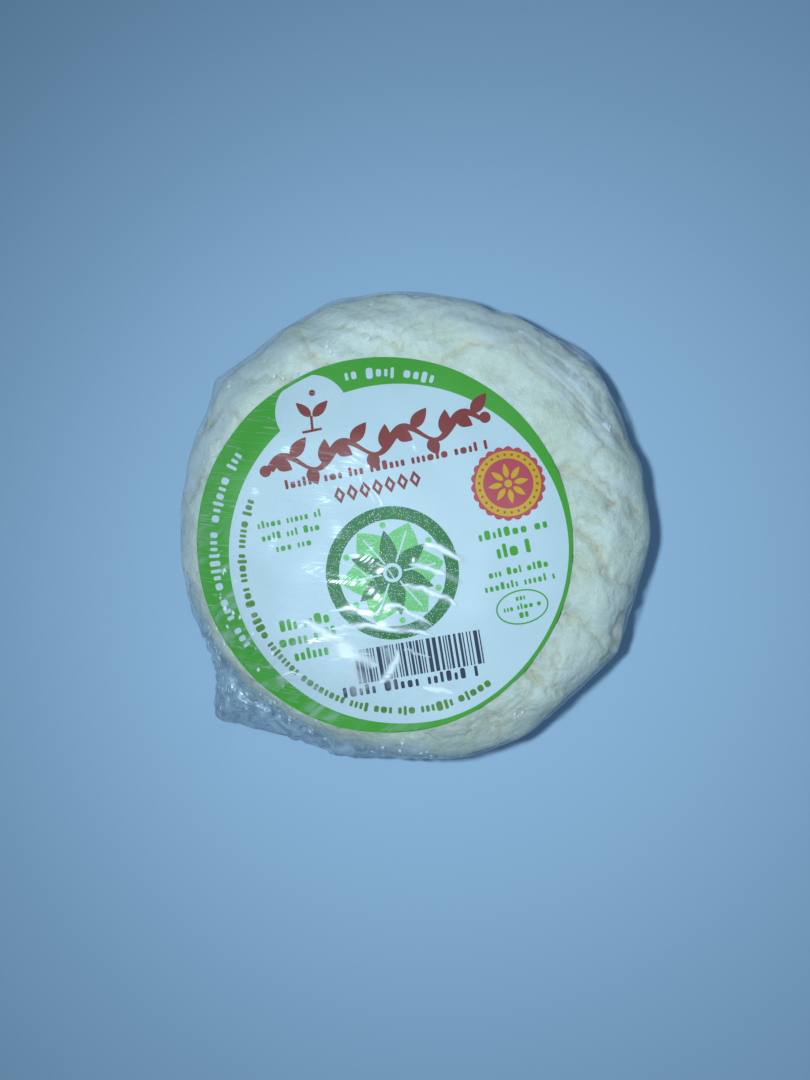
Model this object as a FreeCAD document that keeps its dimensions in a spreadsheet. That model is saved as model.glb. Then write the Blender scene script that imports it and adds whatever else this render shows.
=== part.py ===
import FreeCAD, Part
import math
import os
import random
from FreeCAD import Vector

# A small round goat's cheese with a wrinkled rind, a round paper label on its top and a clear film
# wrapped round both.  The axis of the cheese is Z, the film rests on the plane z = 0, and every
# length is in millimetres.
#
#   cheese   one solid disc with rounded edges, lumps all over and the grooves of a draining rack
#   label    a thin paper disc, set off centre, that follows the lumps of the cheese under it
#   film     one closed hollow skin: tight on the top, stretched straight between the corners of its
#            outline, and drawn out at one side into a low gathered fold of spare film

# Driving dimensions: alias, value, meaning.
SIZES = [
    ("cheese_radius", 31.9, "mean radius of the cheese at its widest"),
    ("cheese_height", 18.8, "height of the cheese"),
    ("cheese_oval", 0.45, "how far the outline leaves a circle"),
    ("top_round", 7.0, "run of the rounded top edge, inwards"),
    ("top_drop", 6.2, "drop of the rounded top edge"),
    ("foot_round", 4.6, "run of the rounded bottom edge, inwards"),
    ("foot_rise", 4.4, "rise of the rounded bottom edge"),
    ("side_belly", 0.5, "how far the side swells between its rounded edges"),
    ("cap_radius", 3.5, "radius of the plain spot at the middle of the top"),
    ("cap_calm", 12.0, "radius within which the relief fades towards that spot"),
    ("lump_size", 11.0, "distance between large lumps of the rind"),
    ("lump_relief", 0.42, "height of the large lumps"),
    ("fold_size", 6.2, "distance between the smaller folds of the rind"),
    ("fold_relief", 0.16, "height of the smaller folds"),
    ("rack_pitch", 8.3, "distance between the grooves left by the draining rack"),
    ("rack_start", -0.8, "distance of one groove from the axis"),
    ("rack_turn", -30.0, "direction of the grooves, in degrees from +X"),
    ("rack_depth", 0.75, "depth of the grooves"),
    ("rack_width", 1.2, "half width of a groove"),
    ("label_radius", 24.4, "radius of the paper label"),
    ("label_x", -4.0, "centre of the label"),
    ("label_y", -2.45, "centre of the label"),
    ("label_thick", 0.2, "thickness of the label"),
    ("label_gap", 0.05, "clearance between the label and the cheese"),
    ("film_gap", 0.1, "clearance between the film and what it wraps"),
    ("film_thick", 0.25, "thickness of the film"),
    ("film_stretch", 0.55, "least distance that the film stands off the side"),
    ("fin_round", 0.9, "radius of the outer edge of the gathered fold"),
    ("fin_rise", 1.3, "height of the outer edge of the gathered fold"),
    ("fin_pleat", 0.3, "height of the pleats in the gathered fold"),
    ("fin_clear", 0.35, "extra clearance where the gathered fold leaves the cheese"),
]

# Corners of the stretched film round its outline: angle in degrees, distance out from the side of
# the cheese.  Between two corners the film runs straight.
FILM_CORNERS = [
    (8, 1.1), (27, 0.9), (48, 1.2), (66, 0.7), (86, 0.5), (108, 0.9), (127, 0.8), (146, 1.0),
    (166, 0.6), (185, 0.8), (203, 3.9), (213, 4.1), (223, 8.9), (230, 7.8), (243, 4.8), (255, 3.3),
    (268, 1.6), (283, 0.9), (297, 1.7), (312, 0.7), (329, 1.5), (348, 0.9),
]

# How finely the surfaces are drawn.
ANGLES = 108
FOOT_STEPS = 4
SIDE_STEPS = 4
EDGE_STEPS = 6
TOP_STEPS = 14
SEED = 26


def make_sheet(doc):
    """Puts the driving dimensions in a spreadsheet and gives each cell its alias."""
    sheet = doc.addObject("Spreadsheet::Sheet", "sizes")
    for row, (alias, value, meaning) in enumerate(SIZES, start=1):
        sheet.set(f"A{row}", alias)
        sheet.set(f"B{row}", str(value))
        sheet.set(f"C{row}", meaning)
        sheet.setAlias(f"B{row}", alias)
    doc.recompute()
    return sheet


def waves(seed, spacing, count=7):
    """Plane waves of one spacing that run in scattered directions: a list of (vector, phase)."""
    draw = random.Random(seed)
    found = []
    for _ in range(count):
        turn = draw.uniform(0, 2 * math.pi)
        climb = draw.uniform(-0.6, 0.6)
        way = Vector(math.cos(turn) * math.cos(climb), math.sin(turn) * math.cos(climb), math.sin(climb))
        found.append((way * (2 * math.pi / spacing), draw.uniform(0, 2 * math.pi)))
    return found


def swell(point, wave_set):
    """Height of a wave set at a point, mostly between -2 and 2."""
    total = sum(math.sin(way.dot(point) + phase) for way, phase in wave_set)
    return total / math.sqrt(len(wave_set) / 2)


def smooth(low, high, value):
    """0 up to low, 1 from high, and a smooth rise between them."""
    t = min(1.0, max(0.0, (value - low) / (high - low)))
    return t * t * (3 - 2 * t)


def around(turn, radius, height):
    """The point at an angle, a distance from the axis and a height."""
    return Vector(radius * math.cos(turn), radius * math.sin(turn), height)


class Rind:
    """The lumpy surface of the cheese as a net of control points, ring by ring from foot to top."""

    def __init__(self, sizes):
        self.s = sizes
        self.base = sizes.film_thick + sizes.film_gap
        self.lumps = waves(SEED, sizes.lump_size)
        self.folds = waves(SEED + 1, sizes.fold_size)
        self.wander = waves(SEED + 2, 3 * sizes.lump_size)
        self.crown = self.base + sizes.cheese_height

    def side_radius(self, turn):
        """Radius of the side at an angle: nearly round, with two and three slow swells."""
        swells = math.cos(2 * turn + 0.6) + 0.6 * math.cos(3 * turn + 2.1) + 0.4 * math.cos(5 * turn)
        return self.s.cheese_radius + 0.5 * self.s.cheese_oval * swells

    def profile(self, turn):
        """Smooth outline of the cheese at an angle, foot to top: (radius, height, out, up) with the
        direction that the surface faces."""
        s = self.s
        side = self.side_radius(turn)
        rows = []
        for i in range(FOOT_STEPS):
            a = math.pi / 2 * i / FOOT_STEPS
            rows.append((side - s.foot_round * (1 - math.sin(a)), s.foot_rise * (1 - math.cos(a)),
                         math.sin(a), -math.cos(a)))
        low, high = s.foot_rise, s.cheese_height - s.top_drop
        for i in range(SIDE_STEPS):
            share = i / SIDE_STEPS
            rows.append((side + s.side_belly * math.sin(math.pi * share), low + (high - low) * share, 1, 0))
        for i in range(EDGE_STEPS):
            a = math.pi / 2 * i / EDGE_STEPS
            rows.append((side - s.top_round * (1 - math.cos(a)), high + s.top_drop * math.sin(a),
                         math.cos(a), math.sin(a)))
        shoulder = side - s.top_round
        for i in range(TOP_STEPS + 1):
            share = i / TOP_STEPS
            rows.append((shoulder + (s.cap_radius - shoulder) * share, s.cheese_height, 0, 1))
        return rows

    def relief(self, point, up):
        """How far the rind stands above its smooth outline at a point whose surface faces up by up."""
        s = self.s
        lumps = s.lump_relief * (abs(swell(point, self.lumps)) - 0.8)
        folds = s.fold_relief * (abs(swell(point, self.folds)) - 0.8)
        turn = math.radians(s.rack_turn)
        across = point.y * math.cos(turn) - point.x * math.sin(turn) + swell(point, self.wander)
        off = (across - s.rack_start) / s.rack_pitch
        off = (off - round(off)) * s.rack_pitch
        groove = s.rack_depth * math.exp(-(off / s.rack_width) ** 2) * smooth(0.2, 0.9, up)
        return lumps + folds - groove

    def net(self):
        """Control points of the rind: net[angle][ring]."""
        s = self.s
        columns = []
        for k in range(ANGLES):
            turn = 2 * math.pi * k / ANGLES
            column = []
            for radius, height, out, up in self.profile(turn):
                flat = around(turn, radius, self.base + height)
                calm = smooth(0, 3, height) * smooth(s.cap_radius, s.cap_calm, radius)
                rise = self.relief(flat, up) * calm
                column.append(flat + around(turn, out, up) * rise)
            columns.append(column)
        return columns


class Wrap:
    """The film: the rind's net moved outwards, stretched to the outline's corners and to the fold."""

    def __init__(self, sizes, rind):
        self.s = sizes
        self.rind = rind
        self.skin = sizes.label_gap + sizes.label_thick + sizes.film_gap + sizes.film_thick
        corners = []
        for degrees, off in FILM_CORNERS:
            turn = math.radians(degrees)
            corners.append(around(turn, rind.side_radius(turn) + off, 0))
        self.corners = corners

    def reach(self, turn):
        """Distance from the axis to the straight-sided outline of the film at an angle."""
        ray = around(turn, 1, 0)
        best = 0
        for i, start in enumerate(self.corners):
            edge = self.corners[(i + 1) % len(self.corners)] - start
            spread = ray.x * edge.y - ray.y * edge.x
            along = (start.y * ray.x - start.x * ray.y) / -spread if spread else -1
            far = (start.x * edge.y - start.y * edge.x) / spread if spread else -1
            if 0 <= along <= 1 and far > best:
                best = far
        return best

    def skin_column(self, turn, column, reach):
        """Outer face of the film at an angle, foot to top: it hugs the rind from the middle of the
        top to the place where it leaves for the rim, runs straight to the rim, and turns in below."""
        s = self.s
        spare = reach - self.rind.side_radius(turn) - self.skin
        drawn = smooth(1.2, 4.2, spare)
        hug = []
        for point, (_, _, out, up) in zip(column, self.rind.profile(turn)):
            hug.append((math.hypot(point.x, point.y) + out * self.skin, point.z + up * self.skin))

        rim_row = FOOT_STEPS + SIDE_STEPS // 2
        rim_rise = hug[rim_row][1] * (1 - drawn) + s.fin_rise * drawn
        rim = (max(reach, hug[rim_row][0] + s.film_stretch), rim_rise)

        leave = max(
            range(rim_row + 1, len(hug)),
            key=lambda j: math.atan2(hug[j][1] - rim[1], rim[0] - hug[j][0]),
        )
        rows = []
        for j, (radius, height) in enumerate(hug):
            if j <= rim_row:
                share = j / rim_row
                turned = math.pi / 2 * share
                tight = (rim[0] - hug[rim_row][0]) * math.sin(turned) ** 0.7
                near = (radius + tight, height if j else 0)
                far = (rim[0] - s.fin_round * (1 - math.sin(turned)), s.fin_rise * (1 - math.cos(turned)))
                rows.append((near[0] * (1 - drawn) + far[0] * drawn, near[1] * (1 - drawn) + far[1] * drawn))
            elif j <= leave:
                share = (j - rim_row) / (leave - rim_row)
                clear = s.fin_clear * drawn * math.sin(math.pi / 2 * share)
                rows.append((rim[0] + (hug[leave][0] - rim[0]) * share,
                             rim[1] + (hug[leave][1] - rim[1]) * share + clear))
            else:
                clear = s.fin_clear * drawn * (1 - smooth(0, 5, j - leave))
                rows.append((radius, height + clear))
        pleat = s.fin_pleat * drawn * (1 + math.sin(36 * turn)) / 2
        return [
            around(turn, radius, height + pleat * math.sin(math.pi * min(1, j / leave)) if j else height)
            for j, (radius, height) in enumerate(rows)
        ]

    def net(self, inset):
        """Control points of the film's outer face, moved inwards by inset."""
        film = []
        for k, column in enumerate(self.rind.net()):
            turn = 2 * math.pi * k / ANGLES
            film.append(self.skin_column(turn, column, self.reach(turn)))
        return offset_net(film, inset) if inset else film


def offset_net(net, inset):
    """The net moved inwards, with its first ring kept flat a distance inset above the base."""
    moved = []
    for k, column in enumerate(net):
        before, after = net[k - 1], net[(k + 1) % len(net)]
        rows = []
        for j, point in enumerate(column):
            below, above = column[max(0, j - 1)], column[min(len(column) - 1, j + 1)]
            normal = (after[j] - before[j]).cross(above - below).normalize()
            if j == 0:
                inward = Vector(point.x, point.y, 0).normalize()
                rows.append(point - inward * inset + Vector(0, 0, inset))
            elif j == len(column) - 1:
                rows.append(point - Vector(0, 0, inset))
            else:
                rows.append(point - normal * inset)
        moved.append(rows)
    return moved


def solid_from_net(net):
    """A closed solid from a net that is periodic round the axis and flat at its first and last ring."""
    rings = len(net[0])
    surface = Part.BSplineSurface()
    surface.buildFromPolesMultsKnots(
        net,
        [1] * (len(net) + 1),
        [4] + [1] * (rings - 4) + [4],
        list(range(len(net) + 1)),
        list(range(rings - 2)),
        True,
        False,
        3,
        3,
    )
    wall = surface.toShape()
    heights = (net[0][0].z, net[0][-1].z)
    caps = []
    for edge in wall.Edges:
        box = edge.BoundBox
        if box.ZLength < 1e-6 and min(abs(box.ZMin - z) for z in heights) < 1e-4:
            caps.append(Part.Face(Part.Wire(edge)))
    shell = Part.Compound([wall] + caps)
    shell.sewShape()
    solid = Part.Solid(shell.Shells[0])
    if solid.Volume < 0:
        solid.reverse()
    return solid


def add_shape(doc, name, shape):
    """A feature that holds a shape made by Part's functions."""
    feature = doc.addObject("Part::Feature", name)
    feature.Label = name
    feature.Shape = shape
    return feature


def make_cheese(doc, rind):
    """The cheese: one solid with a wrinkled rind."""
    return add_shape(doc, "cheese", solid_from_net(rind.net()))


def make_label(doc, cheese):
    """The label: what lies between two raised copies of the cheese, inside a round blank."""
    blank = doc.addObject("Part::Cylinder", "label_blank")
    blank.setExpression("Radius", "sizes.label_radius")
    blank.setExpression("Height", "sizes.cheese_height")
    blank.setExpression("Placement.Base.x", "sizes.label_x")
    blank.setExpression("Placement.Base.y", "sizes.label_y")
    blank.setExpression("Placement.Base.z", "sizes.cheese_height / 2 + sizes.film_thick")
    under = add_shape(doc, "label_underside", cheese.Shape)
    under.setExpression("Placement.Base.z", "sizes.label_gap")
    over = add_shape(doc, "label_topside", cheese.Shape)
    over.setExpression("Placement.Base.z", "sizes.label_gap + sizes.label_thick")
    plug = doc.addObject("Part::Common", "label_plug")
    plug.Base, plug.Tool = over, blank
    label = doc.addObject("Part::Cut", "label")
    label.Base, label.Tool = plug, under
    label.Label = "label"
    return label


def make_film(doc, sizes, wrap):
    """The film: its outer face less its inner face, a closed hollow skin."""
    outside = add_shape(doc, "film_outside", solid_from_net(wrap.net(0)))
    inside = add_shape(doc, "film_inside", solid_from_net(wrap.net(sizes.film_thick)))
    film = doc.addObject("Part::Cut", "film")
    film.Base, film.Tool = outside, inside
    film.Label = "film"
    return film


def write_parts(doc, parts):
    """Checks every object and each sub-part's shape, then writes one STEP file for each sub-part."""
    doc.recompute()
    for item in doc.Objects:
        if "Invalid" in item.State or "Error" in item.State:
            raise RuntimeError(f"{item.Name} failed: {item.State}")
    os.makedirs("parts", exist_ok=True)
    for part in parts:
        shape = part.Shape
        if shape.isNull() or not shape.isValid():
            raise RuntimeError(f"{part.Label} has no valid shape")
        shape.exportStep(f"parts/{part.Label}.step")
        box = shape.BoundBox
        print(f"{part.Label}: {len(shape.Solids)} solid, {shape.Volume / 1000:.3f} cm3, "
              f"{box.XLength:.2f} x {box.YLength:.2f} x {box.ZLength:.2f} mm, from z {box.ZMin:.3f}")


def main():
    doc = FreeCAD.newDocument("wrapped_cheese")
    sizes = make_sheet(doc)
    rind = Rind(sizes)
    cheese = make_cheese(doc, rind)
    label = make_label(doc, cheese)
    film = make_film(doc, sizes, Wrap(sizes, rind))
    write_parts(doc, [cheese, label, film])


main()
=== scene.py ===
import logging
import math
import random
from collections.abc import Callable, Iterable
from dataclasses import dataclass, field
from enum import Enum

import bpy
import numpy as np
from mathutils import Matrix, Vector
from mathutils.bvhtree import BVHTree
from mathutils.geometry import delaunay_2d_cdt


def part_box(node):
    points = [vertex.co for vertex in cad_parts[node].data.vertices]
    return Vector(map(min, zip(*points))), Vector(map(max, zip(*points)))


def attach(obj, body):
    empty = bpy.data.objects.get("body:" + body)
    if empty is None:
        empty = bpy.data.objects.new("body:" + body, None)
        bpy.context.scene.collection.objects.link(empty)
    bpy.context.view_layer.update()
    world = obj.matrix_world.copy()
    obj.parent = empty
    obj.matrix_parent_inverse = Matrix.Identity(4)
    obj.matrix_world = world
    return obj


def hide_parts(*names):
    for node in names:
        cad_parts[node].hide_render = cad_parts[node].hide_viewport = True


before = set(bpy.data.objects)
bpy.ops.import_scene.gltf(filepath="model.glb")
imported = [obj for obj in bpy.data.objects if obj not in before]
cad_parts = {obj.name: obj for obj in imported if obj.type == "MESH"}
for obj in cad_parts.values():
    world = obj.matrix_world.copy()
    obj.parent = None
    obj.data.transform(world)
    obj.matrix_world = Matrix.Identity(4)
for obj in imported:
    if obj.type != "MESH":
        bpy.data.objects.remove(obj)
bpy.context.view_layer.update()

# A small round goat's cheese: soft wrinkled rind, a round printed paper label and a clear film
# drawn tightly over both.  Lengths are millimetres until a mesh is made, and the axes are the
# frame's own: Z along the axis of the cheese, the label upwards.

MM = 0.001
TAU = 2 * math.pi
log = logging.getLogger("wrapped_cheese")

Point = tuple[float, float]
Colour = tuple[float, float, float]


def rise(low: float, high: float, value: np.ndarray | float) -> np.ndarray:
    """Smooth step.

    Args:
        low: value at which the step starts.
        high: value at which it is complete.
        value: where it is read.

    Returns:
        0 up to low, 1 from high, and a smooth rise between them.
    """
    share = np.clip((value - low) / (high - low), 0.0, 1.0)
    return share * share * (3 - 2 * share)


# ---------------------------------------------------------------- reading the frame


class NodeSkin:
    """The outer face of a CAD node, read by rays cast at it."""

    def __init__(self, node: str) -> None:
        """Reads the node's mesh.

        Args:
            node: name of the CAD node.
        """
        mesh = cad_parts[node].data
        corners = [vertex.co / MM for vertex in mesh.vertices]
        self.tree = BVHTree.FromPolygons(corners, [tuple(face.vertices) for face in mesh.polygons])
        low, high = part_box(node)
        self.low, self.high = low / MM, high / MM
        self.corners = np.array([tuple(corner) for corner in corners])

    def hit(self, start: Vector, way: Vector) -> Vector | None:
        """First point of the node along a ray, or None."""
        return self.tree.ray_cast(start, way)[0]

    def reach(self, columns: np.ndarray, spread: float = math.radians(2.0)) -> np.ndarray:
        """How far the node reaches from the axis.

        Args:
            columns: angles round the axis, in radians.
            spread: half width of the wedge that each angle looks at.

        Returns:
            One distance for each angle.
        """
        turns = np.arctan2(self.corners[:, 1], self.corners[:, 0])
        radii = np.hypot(self.corners[:, 0], self.corners[:, 1])
        found = []
        for turn in columns:
            away = np.abs((turns - turn + math.pi) % TAU - math.pi)
            found.append(radii[away < spread].max())
        return np.array(found)


@dataclass
class Stations:
    """Rows of points on a disc's skin, from the middle of its foot to that of its top."""

    foot: int
    foot_edge: int
    side: int
    top_edge: int
    top: int

    def count(self) -> int:
        """Number of rows."""
        return self.foot + self.foot_edge + self.side + self.top_edge + self.top


@dataclass
class DiscGrid:
    """Points on the skin of a disc-like node: rings round the axis, with poles at foot and top."""

    skin: NodeSkin
    columns: np.ndarray
    stations: Stations
    stand_off: float = 2.0
    foot_round: float = 6.0
    top_round: float = 9.0

    def guide(self, radius: float) -> list[tuple[float, float, float, float]]:
        """Outline of a rounded disc that stands round the node at one angle.

        Args:
            radius: distance of its side from the axis.

        Returns:
            Rows of (distance, height, way out, way up), foot to top.
        """
        low = self.skin.low.z - self.stand_off
        high = self.skin.high.z + self.stand_off
        steps = self.stations
        rows: list[tuple[float, float, float, float]] = []
        for i in range(steps.foot):
            share = (i + 1) / (steps.foot + 1)
            rows.append(((radius - self.foot_round) * share, low, 0.0, -1.0))
        for i in range(steps.foot_edge):
            turn = math.pi / 2 * i / steps.foot_edge
            out, down = math.sin(turn), math.cos(turn)
            rows.append((radius - self.foot_round * (1 - out), low + self.foot_round * (1 - down),
                         out, -down))
        for i in range(steps.side):
            share = i / steps.side
            climb = (high - self.top_round) - (low + self.foot_round)
            rows.append((radius, low + self.foot_round + climb * share, 1.0, 0.0))
        for i in range(steps.top_edge):
            turn = math.pi / 2 * i / steps.top_edge
            out, up = math.cos(turn), math.sin(turn)
            rows.append((radius - self.top_round * (1 - out), high - self.top_round * (1 - up),
                         out, up))
        for i in range(steps.top):
            share = 1 - i / steps.top
            rows.append(((radius - self.top_round) * share, high, 0.0, 1.0))
        return rows

    def rays(self) -> tuple[np.ndarray, np.ndarray]:
        """Start and inward direction of every ray, each as an array of [column, row, xyz]."""
        reach = self.skin.reach(self.columns)
        starts = np.zeros((len(self.columns), self.stations.count(), 3))
        ways = np.zeros_like(starts)
        for k, turn in enumerate(self.columns):
            rows = np.array(self.guide(reach[k] + self.stand_off))
            across = np.array([math.cos(turn), math.sin(turn), 0.0])
            starts[k] = rows[:, :1] * across + rows[:, 1:2] * [0, 0, 1]
            ways[k] = -(rows[:, 2:3] * across + rows[:, 3:] * [0, 0, 1])
        return starts, ways

    def depths(self, starts: np.ndarray, ways: np.ndarray, tree: BVHTree) -> np.ndarray:
        """How far each ray runs before it meets a mesh.

        Args:
            starts: start of each ray.
            ways: its direction.
            tree: the mesh, in millimetres.

        Returns:
            Depths of [column, row]; a ray that meets nothing takes the depth of the one before it.
        """
        found = np.full(starts.shape[:2], self.stand_off)
        for k in range(starts.shape[0]):
            last = self.stand_off
            for j in range(starts.shape[1]):
                depth = tree.ray_cast(Vector(starts[k, j]), Vector(ways[k, j]))[3]
                last = depth if depth is not None else last
                found[k, j] = last
        return found

    def sample(self) -> np.ndarray:
        """Points where the rays meet the node, as an array of [column, row, xyz]."""
        starts, ways = self.rays()
        return starts + ways * self.depths(starts, ways, self.skin.tree)[:, :, None]


def tree_of(pieces: Iterable[bpy.types.Object]) -> BVHTree:
    """A search tree over the meshes of some pieces, in millimetres."""
    corners: list[Vector] = []
    faces: list[tuple[int, ...]] = []
    for piece in pieces:
        first = len(corners)
        corners += [vertex.co / MM for vertex in piece.data.vertices]
        faces += [tuple(first + i for i in face.vertices) for face in piece.data.polygons]
    return BVHTree.FromPolygons(corners, faces)


def normals_of(grid: np.ndarray) -> np.ndarray:
    """Unit normals of a grid of points that closes round the axis."""
    round_about = np.roll(grid, -1, axis=0) - np.roll(grid, 1, axis=0)
    upwards = np.gradient(grid, axis=1)
    facing = np.cross(round_about, upwards)
    size = np.linalg.norm(facing, axis=2, keepdims=True)
    return facing / np.maximum(size, 1e-9)


def blurred(values: np.ndarray, reach: tuple[int, int]) -> np.ndarray:
    """Running mean of grid values, closed round the columns and held at the first and last rows.

    Args:
        values: array of [column, row].
        reach: number of neighbours on each side, along columns and rows.

    Returns:
        The blurred array, after two passes.
    """
    for _ in range(2):
        total = sum(np.roll(values, shift, axis=0) for shift in range(-reach[0], reach[0] + 1))
        values = total / (2 * reach[0] + 1)
        padded = np.pad(values, ((0, 0), (reach[1], reach[1])), mode="edge")
        rows = values.shape[1]
        total = sum(padded[:, shift:shift + rows] for shift in range(2 * reach[1] + 1))
        values = total / (2 * reach[1] + 1)
    return values


def skin_mesh(name: str, grid: np.ndarray, marks: dict[str, np.ndarray]) -> bpy.types.Object:
    """A closed smooth mesh from a disc grid, with one point at each pole.

    Args:
        name: name of the object.
        grid: points of [column, row, xyz] in millimetres.
        marks: values of [column, row] to keep as attributes, by name.

    Returns:
        The new object.
    """
    columns, rows = grid.shape[:2]
    foot = grid[:, 0].mean(axis=0) * [0, 0, 1]
    top = grid[:, -1].mean(axis=0) * [0, 0, 1]
    corners = np.concatenate([grid.reshape(-1, 3), [foot, top]]) * MM
    index = np.arange(columns * rows).reshape(columns, rows)
    onward = np.roll(index, -1, axis=0)
    sides = [index[:, :-1], onward[:, :-1], onward[:, 1:], index[:, 1:]]
    quads = np.stack(sides, axis=-1).reshape(-1, 4)
    foot_fan = [(columns * rows, b, a) for a, b in zip(index[:, 0], onward[:, 0])]
    top_fan = [(columns * rows + 1, a, b) for a, b in zip(index[:, -1], onward[:, -1])]
    mesh = bpy.data.meshes.new(name)
    mesh.from_pydata(corners.tolist(), [], quads.tolist() + foot_fan + top_fan)
    mesh.shade_smooth()
    for mark, values in marks.items():
        layer = mesh.attributes.new(mark, "FLOAT", "POINT")
        flat = np.append(values.reshape(-1), [0.0, 0.0])
        layer.data.foreach_set("value", flat.astype(np.float32))
    piece = bpy.data.objects.new(name, mesh)
    bpy.context.scene.collection.objects.link(piece)
    return piece


@dataclass(frozen=True)
class Crease:
    """A line in a surface: a run of points, its half width, and its height or strength."""

    run: tuple[Point, ...]
    width: float = 0.35
    height: float = 0.09

    def mark(self, x: np.ndarray, y: np.ndarray) -> np.ndarray:
        """How near each place is to the line: 1 on it and 0 well away from it."""
        total = np.zeros_like(x)
        for (ax, ay), (bx, by) in zip(self.run, self.run[1:]):
            length = math.hypot(bx - ax, by - ay)
            along = ((x - ax) * (bx - ax) + (y - ay) * (by - ay)) / length
            side = ((x - ax) * (by - ay) - (y - ay) * (bx - ax)) / length
            away = np.hypot(side, along - np.clip(along, 0, length))
            total = np.maximum(total, np.exp(-(away / self.width) ** 2))
        return total


@dataclass(frozen=True)
class GlintStroke:
    """A painted glint on the film, seen from above: a bowed bright line that fades out at both
    ends.
    """

    start: Point
    end: Point
    width: float
    bow: float = 0.0
    strength: float = 1.0


@dataclass(frozen=True)
class Lobe:
    """A swelling (or a dent, if negative) in a round outline."""

    angle: float
    width: float
    depth: float

    def at(self, turns: np.ndarray) -> np.ndarray:
        """Its depth at each angle, given in radians."""
        away = (np.degrees(turns) - self.angle + 180) % 360 - 180
        return self.depth * np.exp(-(away / self.width) ** 2)


def lobed(lobes: Iterable[Lobe], turns: np.ndarray) -> np.ndarray:
    """The sum of some lobes at each angle."""
    return sum(lobe.at(turns) for lobe in lobes)


# ---------------------------------------------------------------- node trees


class Graph:
    """Adds nodes to one node tree, with values or links given by the name of the socket."""

    def __init__(self, tree: bpy.types.NodeTree) -> None:
        """Keeps the tree and clears it."""
        self.tree = tree
        tree.nodes.clear()

    def add(self, kind: str, inputs: dict | None = None, **settings: object) -> bpy.types.Node:
        """Adds a node.

        Args:
            kind: type of the node.
            inputs: value or linked socket for each input, by name or number.
            settings: properties of the node.

        Returns:
            The new node.
        """
        node = self.tree.nodes.new(kind)
        for name, value in settings.items():
            setattr(node, name, value)
        for name, value in (inputs or {}).items():
            socket = node.inputs[name]
            if isinstance(value, bpy.types.NodeSocket):
                self.tree.links.new(value, socket)
            else:
                socket.default_value = value
        return node

    def maths(self, operation: str, *values: object) -> bpy.types.NodeSocket:
        """Output of a Math node over the given values or sockets."""
        return self.add("ShaderNodeMath", dict(enumerate(values)), operation=operation).outputs[0]

    def times(self, first: object, second: object) -> bpy.types.NodeSocket:
        """Product of two values."""
        return self.maths("MULTIPLY", first, second)

    def plus(self, first: object, second: object) -> bpy.types.NodeSocket:
        """Sum of two values."""
        return self.maths("ADD", first, second)

    def minus(self, first: object, second: object) -> bpy.types.NodeSocket:
        """Difference of two values."""
        return self.maths("SUBTRACT", first, second)

    def most(self, first: object, second: object) -> bpy.types.NodeSocket:
        """The larger of two values."""
        return self.maths("MAXIMUM", first, second)

    def vector(self, operation: str, inputs: dict) -> bpy.types.NodeSocket:
        """Vector from a Vector Math node."""
        return self.add("ShaderNodeVectorMath", inputs, operation=operation).outputs[0]

    def part(self, vector: object, axis: str) -> bpy.types.NodeSocket:
        """One component of a vector."""
        return self.add("ShaderNodeSeparateXYZ", {0: vector}).outputs[axis]

    def turned(self, place: object, turn: float) -> bpy.types.NodeSocket:
        """A place turned about Z by an angle in degrees."""
        lean = (0, 0, math.radians(turn))
        return self.add("ShaderNodeMapping", {"Vector": place, "Rotation": lean}).outputs[0]

    def towards(self, place: object, turn: float) -> bpy.types.NodeSocket:
        """How far a place lies along a direction, given by the turn that lays it on +X."""
        return self.part(self.turned(place, turn), "X")

    def mark(self, name: str) -> bpy.types.NodeSocket:
        """A value kept on the mesh, read in a material."""
        return self.add("ShaderNodeAttribute", attribute_name=name).outputs["Fac"]

    def kept(self, name: str) -> bpy.types.NodeSocket:
        """A value kept on the mesh, read in geometry nodes."""
        node = self.add("GeometryNodeInputNamedAttribute", {"Name": name}, data_type="FLOAT")
        return node.outputs[0]

    def span(self, value: object, low: float, high: float, start: float = 0.0,
             end: float = 1.0) -> bpy.types.NodeSocket:
        """A value mapped smoothly from low and high to start and end."""
        node = self.add("ShaderNodeMapRange", {"Value": value, "From Min": low, "From Max": high,
                                               "To Min": start, "To Max": end},
                        interpolation_type="SMOOTHSTEP")
        return node.outputs[0]

    def blend(self, share: object, first: object, second: object,
              how: str = "MIX") -> bpy.types.NodeSocket:
        """Output of a colour Mix node."""
        node = self.add("ShaderNodeMix", {0: share, 6: first, 7: second}, data_type="RGBA",
                        blend_type=how)
        return node.outputs[2]

    def noise(self, place: object, scale: float, detail: float = 2.0,
              roughness: float = 0.5, distortion: float = 0.0) -> bpy.types.NodeSocket:
        """Value of a noise texture."""
        node = self.add("ShaderNodeTexNoise", {"Vector": place, "Scale": scale, "Detail": detail,
                                               "Roughness": roughness, "Distortion": distortion})
        return node.outputs[0]

    def stretched(self, place: object, scale: tuple[float, float, float],
                  turn: float = 0.0) -> bpy.types.NodeSocket:
        """A place turned about Z by an angle in degrees and scaled along each axis."""
        node = self.add("ShaderNodeMapping", {"Vector": self.turned(place, turn), "Scale": scale})
        return node.outputs[0]


def rgba(colour: Colour) -> tuple[float, float, float, float]:
    """A colour with full opacity."""
    return (*colour, 1.0)


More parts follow.
